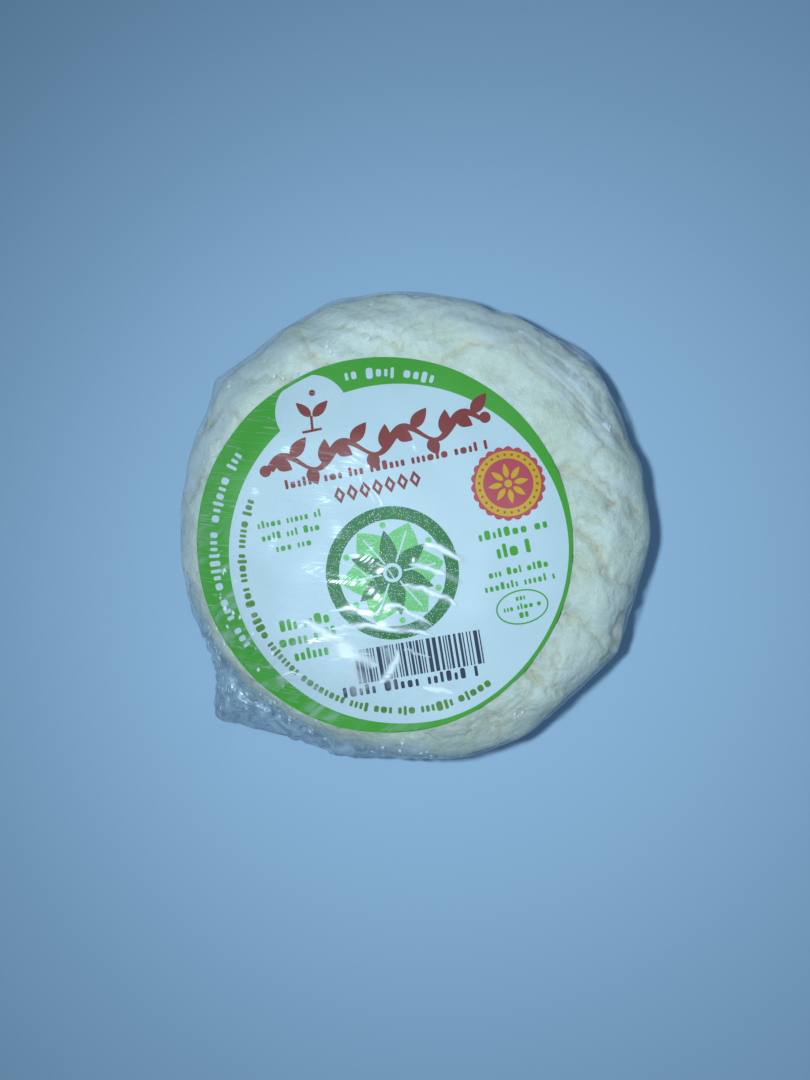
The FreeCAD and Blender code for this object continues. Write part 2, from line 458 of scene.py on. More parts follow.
def shader_group(name: str, inputs: dict[str, tuple[str, object]], outputs: dict[str, str],
                 fill: Callable[[Graph, bpy.types.Node, bpy.types.Node], None],
                 ) -> bpy.types.NodeTree:
    """A shader node group.

    Args:
        name: name of the group.
        inputs: socket type and default of each input, by name.
        outputs: socket type of each output, by name.
        fill: adds the group's nodes between its input and output nodes.

    Returns:
        The group.
    """
    tree = bpy.data.node_groups.new(name, "ShaderNodeTree")
    graph = Graph(tree)
    for label, (kind, value) in inputs.items():
        socket = tree.interface.new_socket(label, in_out="INPUT", socket_type=kind)
        if value is not None:
            socket.default_value = value
    for label, kind in outputs.items():
        tree.interface.new_socket(label, in_out="OUTPUT", socket_type=kind)
    fill(graph, graph.add("NodeGroupInput"), graph.add("NodeGroupOutput"))
    return tree


def relief_group(name: str, values: dict[str, float],
                 fill: Callable[[Graph, bpy.types.Node],
                                tuple[bpy.types.NodeSocket, bpy.types.NodeSocket]],
                 ) -> bpy.types.NodeTree:
    """A geometry node group that moves the points of a skin and gives it its finish.

    Args:
        name: name of the group.
        values: default of each of its number inputs, by name.
        fill: adds the nodes between, and gives the geometry and how far its points move.

    Returns:
        The group.
    """
    tree = bpy.data.node_groups.new(name, "GeometryNodeTree")
    graph = Graph(tree)
    kinds = [("Geometry", "NodeSocketGeometry"), *((label, "NodeSocketFloat") for label in values),
             ("Material", "NodeSocketMaterial")]
    for label, kind in kinds:
        socket = tree.interface.new_socket(label, in_out="INPUT", socket_type=kind)
        if label in values:
            socket.default_value = values[label]
    tree.interface.new_socket("Geometry", in_out="OUTPUT", socket_type="NodeSocketGeometry")
    given, result = graph.add("NodeGroupInput"), graph.add("NodeGroupOutput")
    geometry, offset = fill(graph, given)
    moved = graph.add("GeometryNodeSetPosition", {"Geometry": geometry, "Offset": offset})
    solid = graph.add("GeometryNodeRealizeInstances", {"Geometry": moved.outputs[0]})
    dressed = graph.add("GeometryNodeSetMaterial", {
        "Geometry": solid.outputs[0], "Material": given.outputs["Material"]})
    tree.links.new(dressed.outputs[0], result.inputs["Geometry"])
    return tree


def make_stipple() -> bpy.types.NodeTree:
    """Group: the paper-coloured specks that a coarse printing screen leaves in a field of ink."""
    def fill(graph: Graph, given: bpy.types.Node, result: bpy.types.Node) -> None:
        place = given.outputs["Place"]
        fine = graph.add("ShaderNodeTexVoronoi", {"Vector": place, "Scale": given.outputs["Scale"]})
        patchy = graph.noise(place, 420.0, 2.0, 0.6)
        hole = graph.maths("MULTIPLY_ADD", patchy, 0.36, given.outputs["Amount"])
        specks = graph.maths("LESS_THAN", fine.outputs["Distance"], hole)
        graph.tree.links.new(specks, result.inputs["Specks"])
    return shader_group(
        "screen_specks",
        {"Place": ("NodeSocketVector", None), "Scale": ("NodeSocketFloat", 4300.0),
         "Amount": ("NodeSocketFloat", 0.1)},
        {"Specks": "NodeSocketFloat"}, fill)


def make_paper_grain() -> bpy.types.NodeTree:
    """Group: the faint mottle and tooth of coated label paper."""
    def fill(graph: Graph, given: bpy.types.Node, result: bpy.types.Node) -> None:
        place = given.outputs["Place"]
        mottle = graph.noise(place, 900.0, 3.0, 0.6)
        tooth = graph.noise(place, 5200.0, 2.0, 0.5)
        broad = graph.noise(place, 130.0, 2.0, 0.5)
        shade = graph.maths("MULTIPLY_ADD", graph.plus(mottle, broad), given.outputs["Mottle"], 1.0)
        shade = graph.minus(shade, given.outputs["Mottle"])
        graph.tree.links.new(shade, result.inputs["Shade"])
        graph.tree.links.new(graph.plus(tooth, mottle), result.inputs["Height"])
    return shader_group(
        "paper_grain",
        {"Place": ("NodeSocketVector", None), "Mottle": ("NodeSocketFloat", 0.06)},
        {"Shade": "NodeSocketFloat", "Height": "NodeSocketFloat"}, fill)


@dataclass
class Groups:
    """The shader groups that several finishes share."""

    stipple: bpy.types.NodeTree = field(default_factory=make_stipple)
    grain: bpy.types.NodeTree = field(default_factory=make_paper_grain)


def make_glint_stroke() -> bpy.types.NodeTree:
    """Group: the mask of one painted glint, a bowed line seen from above, widest midway and gone at
    both ends.

    Turn and Size lay the line along X from 0 to 1, with its width as the unit of Y.
    """
    def fill(graph: Graph, given: bpy.types.Node, result: bpy.types.Node) -> None:
        local = graph.add("ShaderNodeMapping", {
            "Vector": given.outputs["Place"], "Location": given.outputs["From"],
            "Rotation": given.outputs["Turn"], "Scale": given.outputs["Size"]},
            vector_type="TEXTURE")
        parts = graph.add("ShaderNodeSeparateXYZ", {0: local.outputs[0]})
        along, side = parts.outputs["X"], parts.outputs["Y"]
        half = graph.times(along, graph.minus(1.0, along))
        arch = graph.most(half, 0.0)
        bowed = graph.minus(side, graph.times(arch, given.outputs["Bow"]))
        width = graph.maths("MULTIPLY_ADD", graph.maths("SQRT", arch), 2.0, 0.001)
        near = graph.maths("DIVIDE", graph.maths("ABSOLUTE", bowed), width)
        graph.tree.links.new(graph.span(near, 0.0, 1.0, 1.0, 0.0), result.inputs["Mask"])
    return shader_group(
        "film_glint_stroke",
        {"Place": ("NodeSocketVector", None), "From": ("NodeSocketVector", None),
         "Turn": ("NodeSocketVector", None), "Size": ("NodeSocketVector", None),
         "Bow": ("NodeSocketFloat", 0.0)},
        {"Mask": "NodeSocketFloat"}, fill)


def new_material(name: str) -> tuple[bpy.types.Material, Graph, bpy.types.NodeSocket]:
    """An empty material.

    Args:
        name: its name.

    Returns:
        The material, its graph, and the object's own coordinates.
    """
    material = bpy.data.materials.new(name)
    material.use_nodes = True
    graph = Graph(material.node_tree)
    place = graph.add("ShaderNodeTexCoord").outputs["Object"]
    return material, graph, place


# ---------------------------------------------------------------- the cheese


@dataclass(frozen=True)
class RindFinish:
    """Soft, moist, light-coloured rind, yellower in its creases, with painted shade in its hollows
    and towards its lower right, and painted light towards its upper left.
    """

    bloom: Colour = (0.77, 0.78, 0.70)
    paste: Colour = (0.69, 0.69, 0.55)
    crease: Colour = (0.62, 0.56, 0.38)
    # Darker colour: painted shade in the hollows and towards the lower right, and random darker
    # flecks.
    hollow_shade_and_tone: Colour = (0.58, 0.57, 0.47)
    furrow: Colour = (0.66, 0.56, 0.37)
    line: Colour = (0.42, 0.34, 0.22)
    speck: Colour = (0.84, 0.85, 0.80)
    lit_side_gain: Colour = (1.17, 1.17, 1.17)

    def material(self) -> bpy.types.Material:
        """Builds the material."""
        material, graph, place = new_material("rind")
        crease = graph.mark("crease")
        hollow_shade_and_tone = graph.mark("hollow_shade_and_tone")
        furrow = graph.mark("furrow")
        patches = graph.noise(place, 135.0, 3.0, 0.55, 0.4)
        cloud = graph.span(patches, 0.38, 0.66)
        colour = graph.blend(cloud, rgba(self.paste), rgba(self.bloom))
        # Painted shade: the rind is darkened in its hollows.
        colour = graph.blend(graph.times(hollow_shade_and_tone, 0.55), colour, rgba(self.hollow_shade_and_tone))
        fine = graph.noise(place, 760.0, 5.0, 0.66, 0.3)
        colour = graph.blend(graph.span(fine, 0.50, 0.72, 0.0, 0.55), colour, rgba(self.bloom))
        colour = graph.blend(graph.span(fine, 0.48, 0.30, 0.0, 0.50), colour, rgba(self.hollow_shade_and_tone))
        tint = graph.noise(place, 210.0, 2.0, 0.5)
        strong = graph.times(crease, graph.span(tint, 0.35, 0.62, 0.15, 0.75))
        colour = graph.blend(strong, colour, rgba(self.crease))
        tinge = graph.times(furrow, graph.span(patches, 0.35, 0.6, 0.70, 0.20))
        colour = graph.blend(tinge, colour, rgba(self.furrow))
        core = graph.times(graph.span(furrow, 0.55, 1.0, 0.0, 0.5), graph.span(fine, 0.40, 0.56))
        colour = graph.blend(core, colour, rgba(self.line))
        # Painted light: the rind is made up to 17 % lighter towards its upper left, seen from
        # above.
        toward_light = graph.towards(place, -120)
        colour = graph.blend(graph.span(toward_light, -0.012, 0.026), colour, rgba(self.lit_side_gain), "MULTIPLY")
        # Painted shade: the rind is darkened towards its lower right, seen from above.
        far = graph.span(toward_light, -0.018, -0.034, 0.0, 0.35)
        colour = graph.blend(far, colour, rgba(self.hollow_shade_and_tone))
        specks = graph.noise(place, 1500.0, 3.0, 0.6, 0.2)
        colour = graph.blend(graph.span(specks, 0.55, 0.72, 0.0, 0.60), colour, rgba(self.speck))
        grain = graph.noise(place, 1900.0, 5.0, 0.66)
        pits = graph.noise(place, 640.0, 4.0, 0.6, 0.6)
        height = graph.maths("MULTIPLY_ADD", pits, 2.4, grain)
        bump = graph.add("ShaderNodeBump", {
            "Strength": 0.8, "Distance": 0.16 * MM, "Height": height})
        shine = graph.span(fine, 0.35, 0.7, 0.50, 0.68)
        surface = graph.add("ShaderNodeBsdfPrincipled", {
            "Base Color": colour, "Roughness": shine, "Normal": bump.outputs[0],
            "Subsurface Weight": 0.15, "Subsurface Radius": (1.0, 0.8, 0.55),
            "Subsurface Scale": 0.7 * MM, "Specular IOR Level": 0.35})
        graph.add("ShaderNodeOutputMaterial", {"Surface": surface.outputs[0]})
        return material


RIND_LOBES = (
    Lobe(10, 14, 0.2), Lobe(42, 16, 0.75), Lobe(72, 6, -0.1), Lobe(112, 16, 1.2), Lobe(142, 9, 0.9),
    Lobe(165, 12, 0.25),
    Lobe(297, 4, 0.3), Lobe(312, 7, -0.6), Lobe(328, 4, 0.5), Lobe(344, 9, -0.55),
)

RIND_FURROWS = (
    Crease(((13.7, 23.5), (18.0, 20.2), (23.5, 14.8), (25.0, 12.0)), 0.75, 0.50),
    Crease(((25.0, 12.0), (23.6, 9.6), (23.8, 7.4), (27.4, 4.4), (30.3, 1.4)), 0.65, 0.42),
    Crease(((20.0, 7.8), (24.0, 5.4), (26.4, 3.0)), 0.60, 0.36),
    Crease(((20.8, -0.2), (24.0, -3.0), (26.6, -6.3), (29.8, -8.8)), 0.65, 0.45),
    Crease(((21.6, 0.4), (25.5, 1.2)), 0.45, 0.24),
    Crease(((19.2, -11.6), (22.4, -13.0), (25.6, -15.4)), 0.60, 0.42),
    Crease(((14.8, -18.8), (17.2, -20.4), (20.4, -22.6)), 0.65, 0.40),
    Crease(((8.0, -22.8), (9.6, -25.0), (12.4, -27.2)), 0.60, 0.34),
    Crease(((4.5, 22.3), (8.0, 24.4), (13.5, 24.6)), 0.65, 0.34),
    Crease(((-2.5, 23.2), (-5.5, 25.6), (-10.5, 26.6)), 0.60, 0.38),
    Crease(((-10.8, 21.0), (-13.6, 23.2), (-15.6, 26.0)), 0.60, 0.36),
    Crease(((-16.5, 18.4), (-20.0, 20.4), (-23.8, 20.2)), 0.65, 0.40),
    Crease(((-22.6, 14.0), (-25.4, 15.6), (-28.4, 13.8)), 0.60, 0.38),
    Crease(((-26.5, 6.0), (-29.0, 7.2), (-31.0, 4.6)), 0.55, 0.34),
    Crease(((26.0, -18.0), (27.4, -14.6), (29.2, -12.2)), 0.80, 0.45),
    Crease(((4.0, 28.6), (9.6, 28.2), (14.6, 26.4)), 0.70, 0.40),
    Crease(((21.0, 22.4), (25.2, 17.6), (28.0, 12.0)), 0.80, 0.42),
)


@dataclass
class Cheese:
    """The cheese under its wrinkled rind."""

    columns: int = 560
    stations: Stations = field(default_factory=lambda: Stations(22, 8, 16, 30, 62))
    fold_size: float = 4.2
    fold_depth: float = 0.20
    grain_size: float = 2.6
    grain_height: float = 0.42
    seed: float = 4.0
    plumpness: float = 0.35
    shelter: tuple[Point, float] = ((-4.0, -2.45), 24.8)

    def base(self) -> bpy.types.Object:
        """The CAD cheese as an even grid, with a mark of how sunk each point is, where painted
        shade darkens it.
        """
        turns = np.arange(self.columns) * TAU / self.columns
        grid = DiscGrid(NodeSkin("cheese"), turns, self.stations)
        points = grid.sample()
        radii = np.hypot(points[:, :, 0], points[:, :, 1])
        turns = np.arctan2(points[:, :, 1], points[:, :, 0])
        swell = (self.plumpness + lobed(RIND_LOBES, turns)) * rise(29.3, 32.0, radii)
        points[:, :, :2] *= 1 + (swell / np.maximum(radii, 1.0))[:, :, None]
        facing = normals_of(points)
        broad = np.stack([blurred(points[:, :, i], (6, 4)) for i in range(3)], axis=2)
        sunk = ((broad - points) * facing).sum(axis=2)
        across, along = points[:, :, 0], points[:, :, 1]
        sideways = 0.5 * np.sin(along * 0.9 + 1.0) + 0.22 * np.sin(along * 2.7 + across)
        lengthways = 0.5 * np.sin(across * 0.8) + 0.22 * np.sin(across * 3.1 - along)
        furrow = np.zeros(points.shape[:2])
        depth = np.zeros(points.shape[:2])
        for crease in RIND_FURROWS:
            mark = crease.mark(across + sideways, along + lengthways)
            depth = np.maximum(depth, mark * crease.height)
            furrow = np.maximum(furrow, mark ** 2)
        above = rise(3.0, 6.0, points[:, :, 2])
        centre, radius = self.shelter
        bare = rise(radius - 1.2, radius + 0.6, np.hypot(across - centre[0], along - centre[1]))
        bare = np.maximum(bare, 1 - rise(12.0, 16.0, points[:, :, 2]))
        # The mark of sunk places paints shade in the rind's hollows and widens its creases.
        marks = {"hollow_shade_and_tone": rise(0.04, 0.4, sunk), "furrow": furrow * above, "bare": bare}
        points = points - facing * (depth * above * bare)[:, :, None]
        return skin_mesh("cheese_rind", points, marks)

    def relief(self, graph: Graph, given: bpy.types.Node,
               ) -> tuple[bpy.types.NodeSocket, bpy.types.NodeSocket]:
        """Soft folds and grain pressed into the rind, with the folds kept as a mark."""
        place = graph.add("GeometryNodeInputPosition").outputs[0]
        above = graph.span(graph.part(place, "Z"), 0.8 * MM, 3.0 * MM)

        def field_noise(size: str, detail: float, distortion: float) -> bpy.types.NodeSocket:
            scale = graph.maths("DIVIDE", 1.0, given.outputs[size])
            node = graph.add("ShaderNodeTexNoise", {
                "Vector": place, "W": given.outputs["Seed"], "Scale": scale, "Detail": detail,
                "Distortion": distortion}, noise_dimensions="4D")
            return node.outputs[0]

        depth = given.outputs["Fold Depth"]
        line = graph.maths("ABSOLUTE", graph.minus(field_noise("Fold Size", 1.0, 1.1), 0.5))
        fold = graph.span(line, 0.0, 0.045, 1.0, 0.0)
        fold = graph.times(fold, graph.span(graph.noise(place, 95.0, 1.0), 0.4, 0.62, 0.12, 1.0))
        swell = graph.span(line, 0.0, 0.2, 0.0, 1.0)
        grain = graph.minus(field_noise("Grain Size", 4.0, 0.5), 0.56)
        lift = graph.times(swell, graph.times(depth, 0.5))
        press = graph.plus(graph.times(fold, depth), graph.times(depth, 0.5))
        rough = graph.times(grain, given.outputs["Grain Height"])
        total = graph.minus(graph.plus(lift, rough), press)
        total = graph.times(graph.times(total, above), graph.kept("bare"))
        facing = graph.add("GeometryNodeInputNormal").outputs[0]
        offset = graph.vector("SCALE", {0: facing, "Scale": total})
        mark = graph.most(graph.times(fold, above), graph.span(graph.kept("hollow_shade_and_tone"), 0.35, 0.95))
        marked = graph.add("GeometryNodeStoreNamedAttribute", {
            "Geometry": given.outputs["Geometry"], "Name": "crease", "Value": mark},
            data_type="FLOAT", domain="POINT")
        return marked.outputs[0], offset

    def build(self) -> bpy.types.Object:
        """Builds and dresses the cheese."""
        tree = relief_group("rind_relief", {
            "Fold Size": self.fold_size * MM, "Fold Depth": self.fold_depth * MM,
            "Grain Size": self.grain_size * MM, "Grain Height": self.grain_height * MM,
            "Seed": self.seed}, self.relief)
        piece = with_nodes(self.base(), tree, RindFinish().material())
        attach(piece, "root")
        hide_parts("cheese")
        return piece


def with_nodes(piece: bpy.types.Object, tree: bpy.types.NodeTree,
               material: bpy.types.Material) -> bpy.types.Object:
    """Runs a geometry tree on a piece and keeps the result as a plain mesh.

    Args:
        piece: the piece.
        tree: a tree whose Material input takes the finish.
        material: the finish.

    Returns:
        The same piece with its new mesh.
    """
    modifier = piece.modifiers.new(tree.name, "NODES")
    modifier.node_group = tree
    for item in tree.interface.items_tree:
        if item.item_type == "SOCKET" and item.in_out == "INPUT" and item.name == "Material":
            modifier[item.identifier] = material
    depsgraph = bpy.context.evaluated_depsgraph_get()
    mesh = bpy.data.meshes.new_from_object(piece.evaluated_get(depsgraph))
    mesh.name = piece.name
    piece.modifiers.clear()
    piece.data = mesh
    mesh.shade_smooth()
    return piece


# ---------------------------------------------------------------- the label


class Ink(Enum):
    """The inks of the label, in the order of its material slots."""

    PAPER = 0
    GREEN = 1
    SPECKLED = 2
    PALE_GREEN = 3
    BROWN = 4
    CRIMSON = 5
    GOLD = 6
    NAVY = 7
    OLIVE = 8


@dataclass(frozen=True)
class InkFinish:
    """One ink on coated paper."""

    ink: Ink
    colour: Colour
    specks: float = 0.0
    roughness: float = 0.42

    def material(self, groups: Groups, paper: Colour) -> bpy.types.Material:
        """Builds the material.

        Args:
            groups: the shared shader groups.
            paper: colour of the bare paper, which shows through specks.

        Returns:
            The material.
        """
        material, graph, place = new_material(f"label_{self.ink.name.lower()}")
        grain = graph.add("ShaderNodeGroup", node_tree=groups.grain)
        graph.tree.links.new(place, grain.inputs["Place"])
        colour = graph.blend(1.0, rgba(self.colour), grain.outputs["Shade"], "MULTIPLY")
        if self.specks:
            screen = graph.add("ShaderNodeGroup", node_tree=groups.stipple)
            screen.inputs["Amount"].default_value = self.specks
            graph.tree.links.new(place, screen.inputs["Place"])
            colour = graph.blend(screen.outputs["Specks"], colour, rgba(paper))
        bump = graph.add("ShaderNodeBump", {"Strength": 0.12, "Distance": 0.00004,
                                            "Height": grain.outputs["Height"]})
        surface = graph.add("ShaderNodeBsdfPrincipled", {
            "Base Color": colour, "Roughness": self.roughness, "Normal": bump.outputs[0],
            "Specular IOR Level": 0.18})
        graph.add("ShaderNodeOutputMaterial", {"Surface": surface.outputs[0]})
        return material


PAPER: Colour = (0.66, 0.735, 0.775)
INKS = (
    InkFinish(Ink.PAPER, PAPER),
    InkFinish(Ink.GREEN, (0.075, 0.385, 0.028)),
    InkFinish(Ink.SPECKLED, (0.024, 0.185, 0.030), 0.06),
    InkFinish(Ink.PALE_GREEN, (0.19, 0.60, 0.16), 0.08),
    InkFinish(Ink.BROWN, (0.30, 0.035, 0.028)),
    InkFinish(Ink.CRIMSON, (0.61, 0.068, 0.096)),
    InkFinish(Ink.GOLD, (0.76, 0.42, 0.010)),
    InkFinish(Ink.NAVY, (0.030, 0.040, 0.070)),
    InkFinish(Ink.OLIVE, (0.11, 0.25, 0.025)),
)


@dataclass
class Printed:
    """One printed shape: a closed outline in millimetres from the label's centre, and its ink."""

    outline: list[Point]
    ink: Ink


def polar(centre: Point, radius: float, turn: float) -> Point:
    """The point at a radius from a centre, at an angle in radians."""
    return centre[0] + radius * math.cos(turn), centre[1] + radius * math.sin(turn)


def placed(outline: Iterable[Point], centre: Point, turn: float) -> list[Point]:
    """An outline turned by an angle in degrees and moved to a centre."""
    lean = math.radians(turn)
    return [(centre[0] + x * math.cos(lean) - y * math.sin(lean),
             centre[1] + x * math.sin(lean) + y * math.cos(lean)) for x, y in outline]


def ellipse(centre: Point, across: float, along: float | None = None, turn: float = 0.0,
            steps: int = 48) -> list[Point]:
    """Points of an ellipse.

    Args:
        centre: its centre.
        across: its first half axis.
        along: its second half axis, or None for a circle.
        turn: direction of the first half axis, in degrees.
        steps: number of points.

    Returns:
        The outline.
    """
    along = across if along is None else along
    angles = (TAU * i / steps for i in range(steps))
    return placed(((across * math.cos(a), along * math.sin(a)) for a in angles), centre, turn)


def anticlockwise(outline: list[Vector]) -> list[Vector]:
    """The outline, turned round where it runs clockwise."""
    area = sum(a.x * b.y - b.x * a.y for a, b in zip(outline, outline[1:] + outline[:1]))
    return outline if area > 0 else outline[::-1]


def block(width: float, height: float, rounding: float = 0.35) -> list[Point]:
    """A rounded rectangle about its centre.

    Args:
        width: its width.
        height: its height.
        rounding: radius of its corners as a share of its smaller side.

    Returns:
        The outline.
    """
    r = rounding * min(width, height)
    found = []
    for quarter, (sx, sy) in enumerate(((1, 1), (-1, 1), (-1, -1), (1, -1))):
        for i in range(3):
            corner = (sx * (width / 2 - r), sy * (height / 2 - r))
            found.append(polar(corner, r, math.pi / 2 * (quarter + i / 2)))
    return found


def leaf(length: float, width: float, steps: int = 9) -> list[Point]:
    """A pointed leaf that starts at the origin and grows along +X."""
    upper = []
    for i in range(steps + 1):
        share = i / steps
        upper.append((length * share, width / 2 * math.sin(math.pi * share ** 0.8) ** 0.9))
    return upper + [(x, -y) for x, y in reversed(upper[1:-1])]


class Weight(Enum):
    """How heavy a row of blocks looks: block width, gap and height over the row's height."""

    FINE = (0.21, 0.20, 0.50)
    PLAIN = (0.26, 0.20, 0.56)
    BOLD = (0.30, 0.20, 0.66)


@dataclass
class Row:
    """A row of small blocks that stands where a printed line would be: words with gaps between."""

    centre: Point
    length: float
    height: float
    ink: Ink
    turn: float = 12.0
    weight: Weight = Weight.PLAIN
    word: int = 7

    def steps(self, draw: random.Random) -> list[tuple[float, float, float]]:
        """Place, width and height of the blocks along the row, from its middle."""
        wide, gap, tall = (share * self.height for share in self.weight.value)
        found = []
        at, left = 0.0, draw.randint(3, self.word)
        while at < self.length:
            width = wide * draw.choice((1.0, 1.0, 1.2, 1.6, 2.1))
            found.append((at + width / 2, width, tall * draw.choice((1.0, 1.0, 1.0, 1.45))))
            at += width + gap
            left -= 1
            if left == 0:
                at += self.height * 0.42
                left = draw.randint(3, self.word)
        size = self.length / (found[-1][0] + found[-1][1] / 2)
        return [(place * size - self.length / 2, width * size, height)
                for place, width, height in found]

    def shapes(self, draw: random.Random) -> list[Printed]:
        """The row's blocks, which stand on one line."""
        foot = -self.weight.value[2] * self.height / 2
        found = []
        for place, width, tall in self.steps(draw):
            (centre,) = placed([(place, foot + tall / 2)], self.centre, self.turn)
            found.append(Printed(placed(block(width, tall), centre, self.turn), self.ink))
        return found


@dataclass
class Arc(Row):
    """A row that runs round a centre at a radius from one angle on, clockwise if inward."""

    radius: float = 20.0
    start: float = 0.0

    def shapes(self, draw: random.Random) -> list[Printed]:
        """The row's blocks."""
        found = []
        for place, width, tall in self.steps(draw):
            turn = self.start + math.degrees((place + self.length / 2) / self.radius)
            centre = polar(self.centre, self.radius, math.radians(turn))
            found.append(Printed(placed(block(width, tall), centre, turn - 90), self.ink))
        return found


@dataclass
class Label:
    """The round paper label and its print."""

    groups: Groups
    thickness: float = 0.1
    grid_step: float = 0.55
    print_turn: float = 12.0
    panel_centre: Point = (1.9, -1.15)
    panel_radius: float = 22.0
    notch_centre: Point = (-9.37, 17.24)
    notch_radius: float = 4.75
    rim_line: float = 0.5
    stretch: float = 1.018
    stiffness: float = 55.0
    seed: int = 7

    def __post_init__(self) -> None:
        """Reads the size and place of the CAD label."""
        self.skin = NodeSkin("label")
        low, high = self.skin.low, self.skin.high
        self.radius = (high.x - low.x) / 2
        self.centre = ((high.x + low.x) / 2, (high.y + low.y) / 2)

    def ground(self) -> list[Printed]:
        """The green ground, the white panel and the round notch that holds the small emblem."""
        return [
            Printed(ellipse((0, 0), self.radius - 0.02, steps=180), Ink.GREEN),
            Printed(ellipse(self.panel_centre, self.panel_radius, steps=160), Ink.PAPER),
            Printed(ellipse(self.notch_centre, self.notch_radius, steps=60), Ink.PAPER),
        ]

    def sprout(self) -> list[Printed]:
        """A small two-leaved sprout in the notch."""
        x, y = self.notch_centre
        return [
            Printed(placed(leaf(2.9, 1.3), (x + 0.1, y - 0.7), 48), Ink.BROWN),
            Printed(placed(leaf(2.7, 1.2), (x - 0.1, y - 0.7), 138), Ink.BROWN),
            Printed(placed(block(0.34, 1.9), (x, y - 1.5), 6), Ink.BROWN),
            Printed(placed(block(2.6, 0.34), (x + 0.05, y - 2.5), 12), Ink.BROWN),
            Printed(ellipse((x, y + 2.4), 0.42, steps=14), Ink.BROWN),
        ]

    def vine(self) -> list[Printed]:
        """A running vine across the top of the panel, where a title would be."""
        length, swing, stroke, waves = 28.0, 1.3, 1.15, 3.5
        centre, turn, steps = (-1.17, 13.0), 14.0, 84
        upper, lower = [], []
        for i in range(steps + 1):
            x = length * (i / steps - 0.5)
            phase = TAU * waves * i / steps
            slope = swing * math.cos(phase) * TAU * waves / length
            size = math.hypot(1, slope)
            half = stroke * (0.7 + 0.3 * math.sin(phase + 0.9)) / 2
            y = swing * math.sin(phase)
            upper.append((x - half * slope / size, y + half / size))
            lower.append((x + half * slope / size, y - half / size))
        found = [Printed(placed(upper + lower[::-1], centre, turn), Ink.BROWN)]
        for i in range(14):
            share = (i + 0.5) / 14
            phase = TAU * waves * share
            side = 1 if i % 2 else -1
            root = (length * (share - 0.5), swing * math.sin(phase))
            slope = swing * math.cos(phase) * TAU * waves / length
            lean = side * 58 + 0.5 * math.degrees(math.atan(slope))
            blade = placed(leaf(3.3 if side > 0 else 2.4, 1.7), root, lean)
            found.append(Printed(placed(blade, centre, turn), Ink.BROWN))
        for side in (-1, 1):
            bead = ellipse((side * (length / 2 + 0.6), 0.0), 0.75, steps=18)
            found.append(Printed(placed(bead, centre, turn), Ink.BROWN))
        return found

    def braid(self) -> list[Printed]:
        """A short row of lozenges under the vine, where a bold word would be."""
        centre, turn, pitch = (-0.91, 7.48), 12.2, 1.66
        found = []
        for i in range(7):
            middle = (i - 3) * pitch
            for wide, tall, ink in ((0.74, 1.12, Ink.BROWN), (0.30, 0.50, Ink.PAPER)):
                lozenge = [(middle + wide, 0.0), (middle, tall),
                           (middle - wide, 0.0), (middle, -tall)]
                found.append(Printed(placed(lozenge, centre, turn), ink))
        return found

    def rosette(self) -> list[Printed]:
        """The round device at the middle: a speckled ring about a rosette of leaves."""
        centre, radius, band = (1.04, -3.58), 8.6, 1.7
        found = [
            Printed(ellipse(centre, radius, steps=96), Ink.SPECKLED),
            Printed(ellipse(centre, radius - band, steps=84), Ink.PAPER),
        ]
        for i in range(6):
            turn = self.print_turn + 60 * i
            found.append(Printed(placed(leaf(6.8, 5.2, 12), centre, turn), Ink.PALE_GREEN))
        for i in range(6):
            turn = self.print_turn + 60 * i + 30
            found.append(Printed(placed(leaf(5.6, 2.3, 10), centre, turn), Ink.SPECKLED))
        for i in range(6):
            turn = math.radians(self.print_turn + 60 * i + 30)
            bead = polar(centre, 6.25, turn)
            found.append(Printed(ellipse(bead, 0.42, steps=14), Ink.PALE_GREEN))
            blade = polar(centre, 3.6, turn - 0.5236)
            rib = placed(block(4.3, 0.22), blade, math.degrees(turn) - 30)
            found.append(Printed(rib, Ink.PAPER))
        found.append(Printed(ellipse(centre, 1.25, steps=24), Ink.PAPER))
        found.append(Printed(ellipse(centre, 0.8, steps=20), Ink.SPECKLED))
        return found

    def medallion(self) -> list[Printed]:
        """A scalloped crimson and gold medallion at the right."""
        centre, lobes = (16.0, 7.95), 22
        rim = []
        for i in range(lobes * 6):
            a = TAU * i / (lobes * 6)
            r = 4.5 + 0.36 * abs(math.sin(lobes * a / 2))
            rim.append(polar(centre, r, a))
        found = [
            Printed(rim, Ink.CRIMSON),
            Printed(ellipse(centre, 4.25, steps=60), Ink.GOLD),
            Printed(ellipse(centre, 3.25, steps=48), Ink.CRIMSON),
        ]
        for i in range(26):
            a = TAU * i / 26
            bead = polar(centre, 3.76, a)
            found.append(Printed(ellipse(bead, 0.19, steps=8), Ink.CRIMSON))
        for i in range(8):
            a = math.radians(self.print_turn + 45 * i)
            root = polar(centre, 0.75, a)
            found.append(Printed(placed(leaf(1.9, 0.75, 6), root, math.degrees(a)), Ink.GOLD))
        found.append(Printed(ellipse(centre, 0.5, steps=14), Ink.GOLD))
        return found

    def bars(self, draw: random.Random) -> list[Printed]:
        """A field of upright bars of mixed widths, with a row of small blocks under it."""
        centre, length, tall, turn = (4.75, -14.4), 16.9, 4.4, 9.5
        found = []
        at = -length / 2
        while at < length / 2 - 0.3:
            width = draw.choice((0.17, 0.17, 0.34, 0.51))
            bar = [(at, -tall / 2), (at + width, -tall / 2), (at + width, tall / 2), (at, tall / 2)]
            found.append(Printed(placed(bar, centre, turn), Ink.NAVY))
            at += width + draw.choice((0.17, 0.17, 0.25, 0.34))
        found += Row((3.4, -17.9), 17.6, 1.9, Ink.NAVY, turn, Weight.FINE, 6).shapes(draw)
        return found

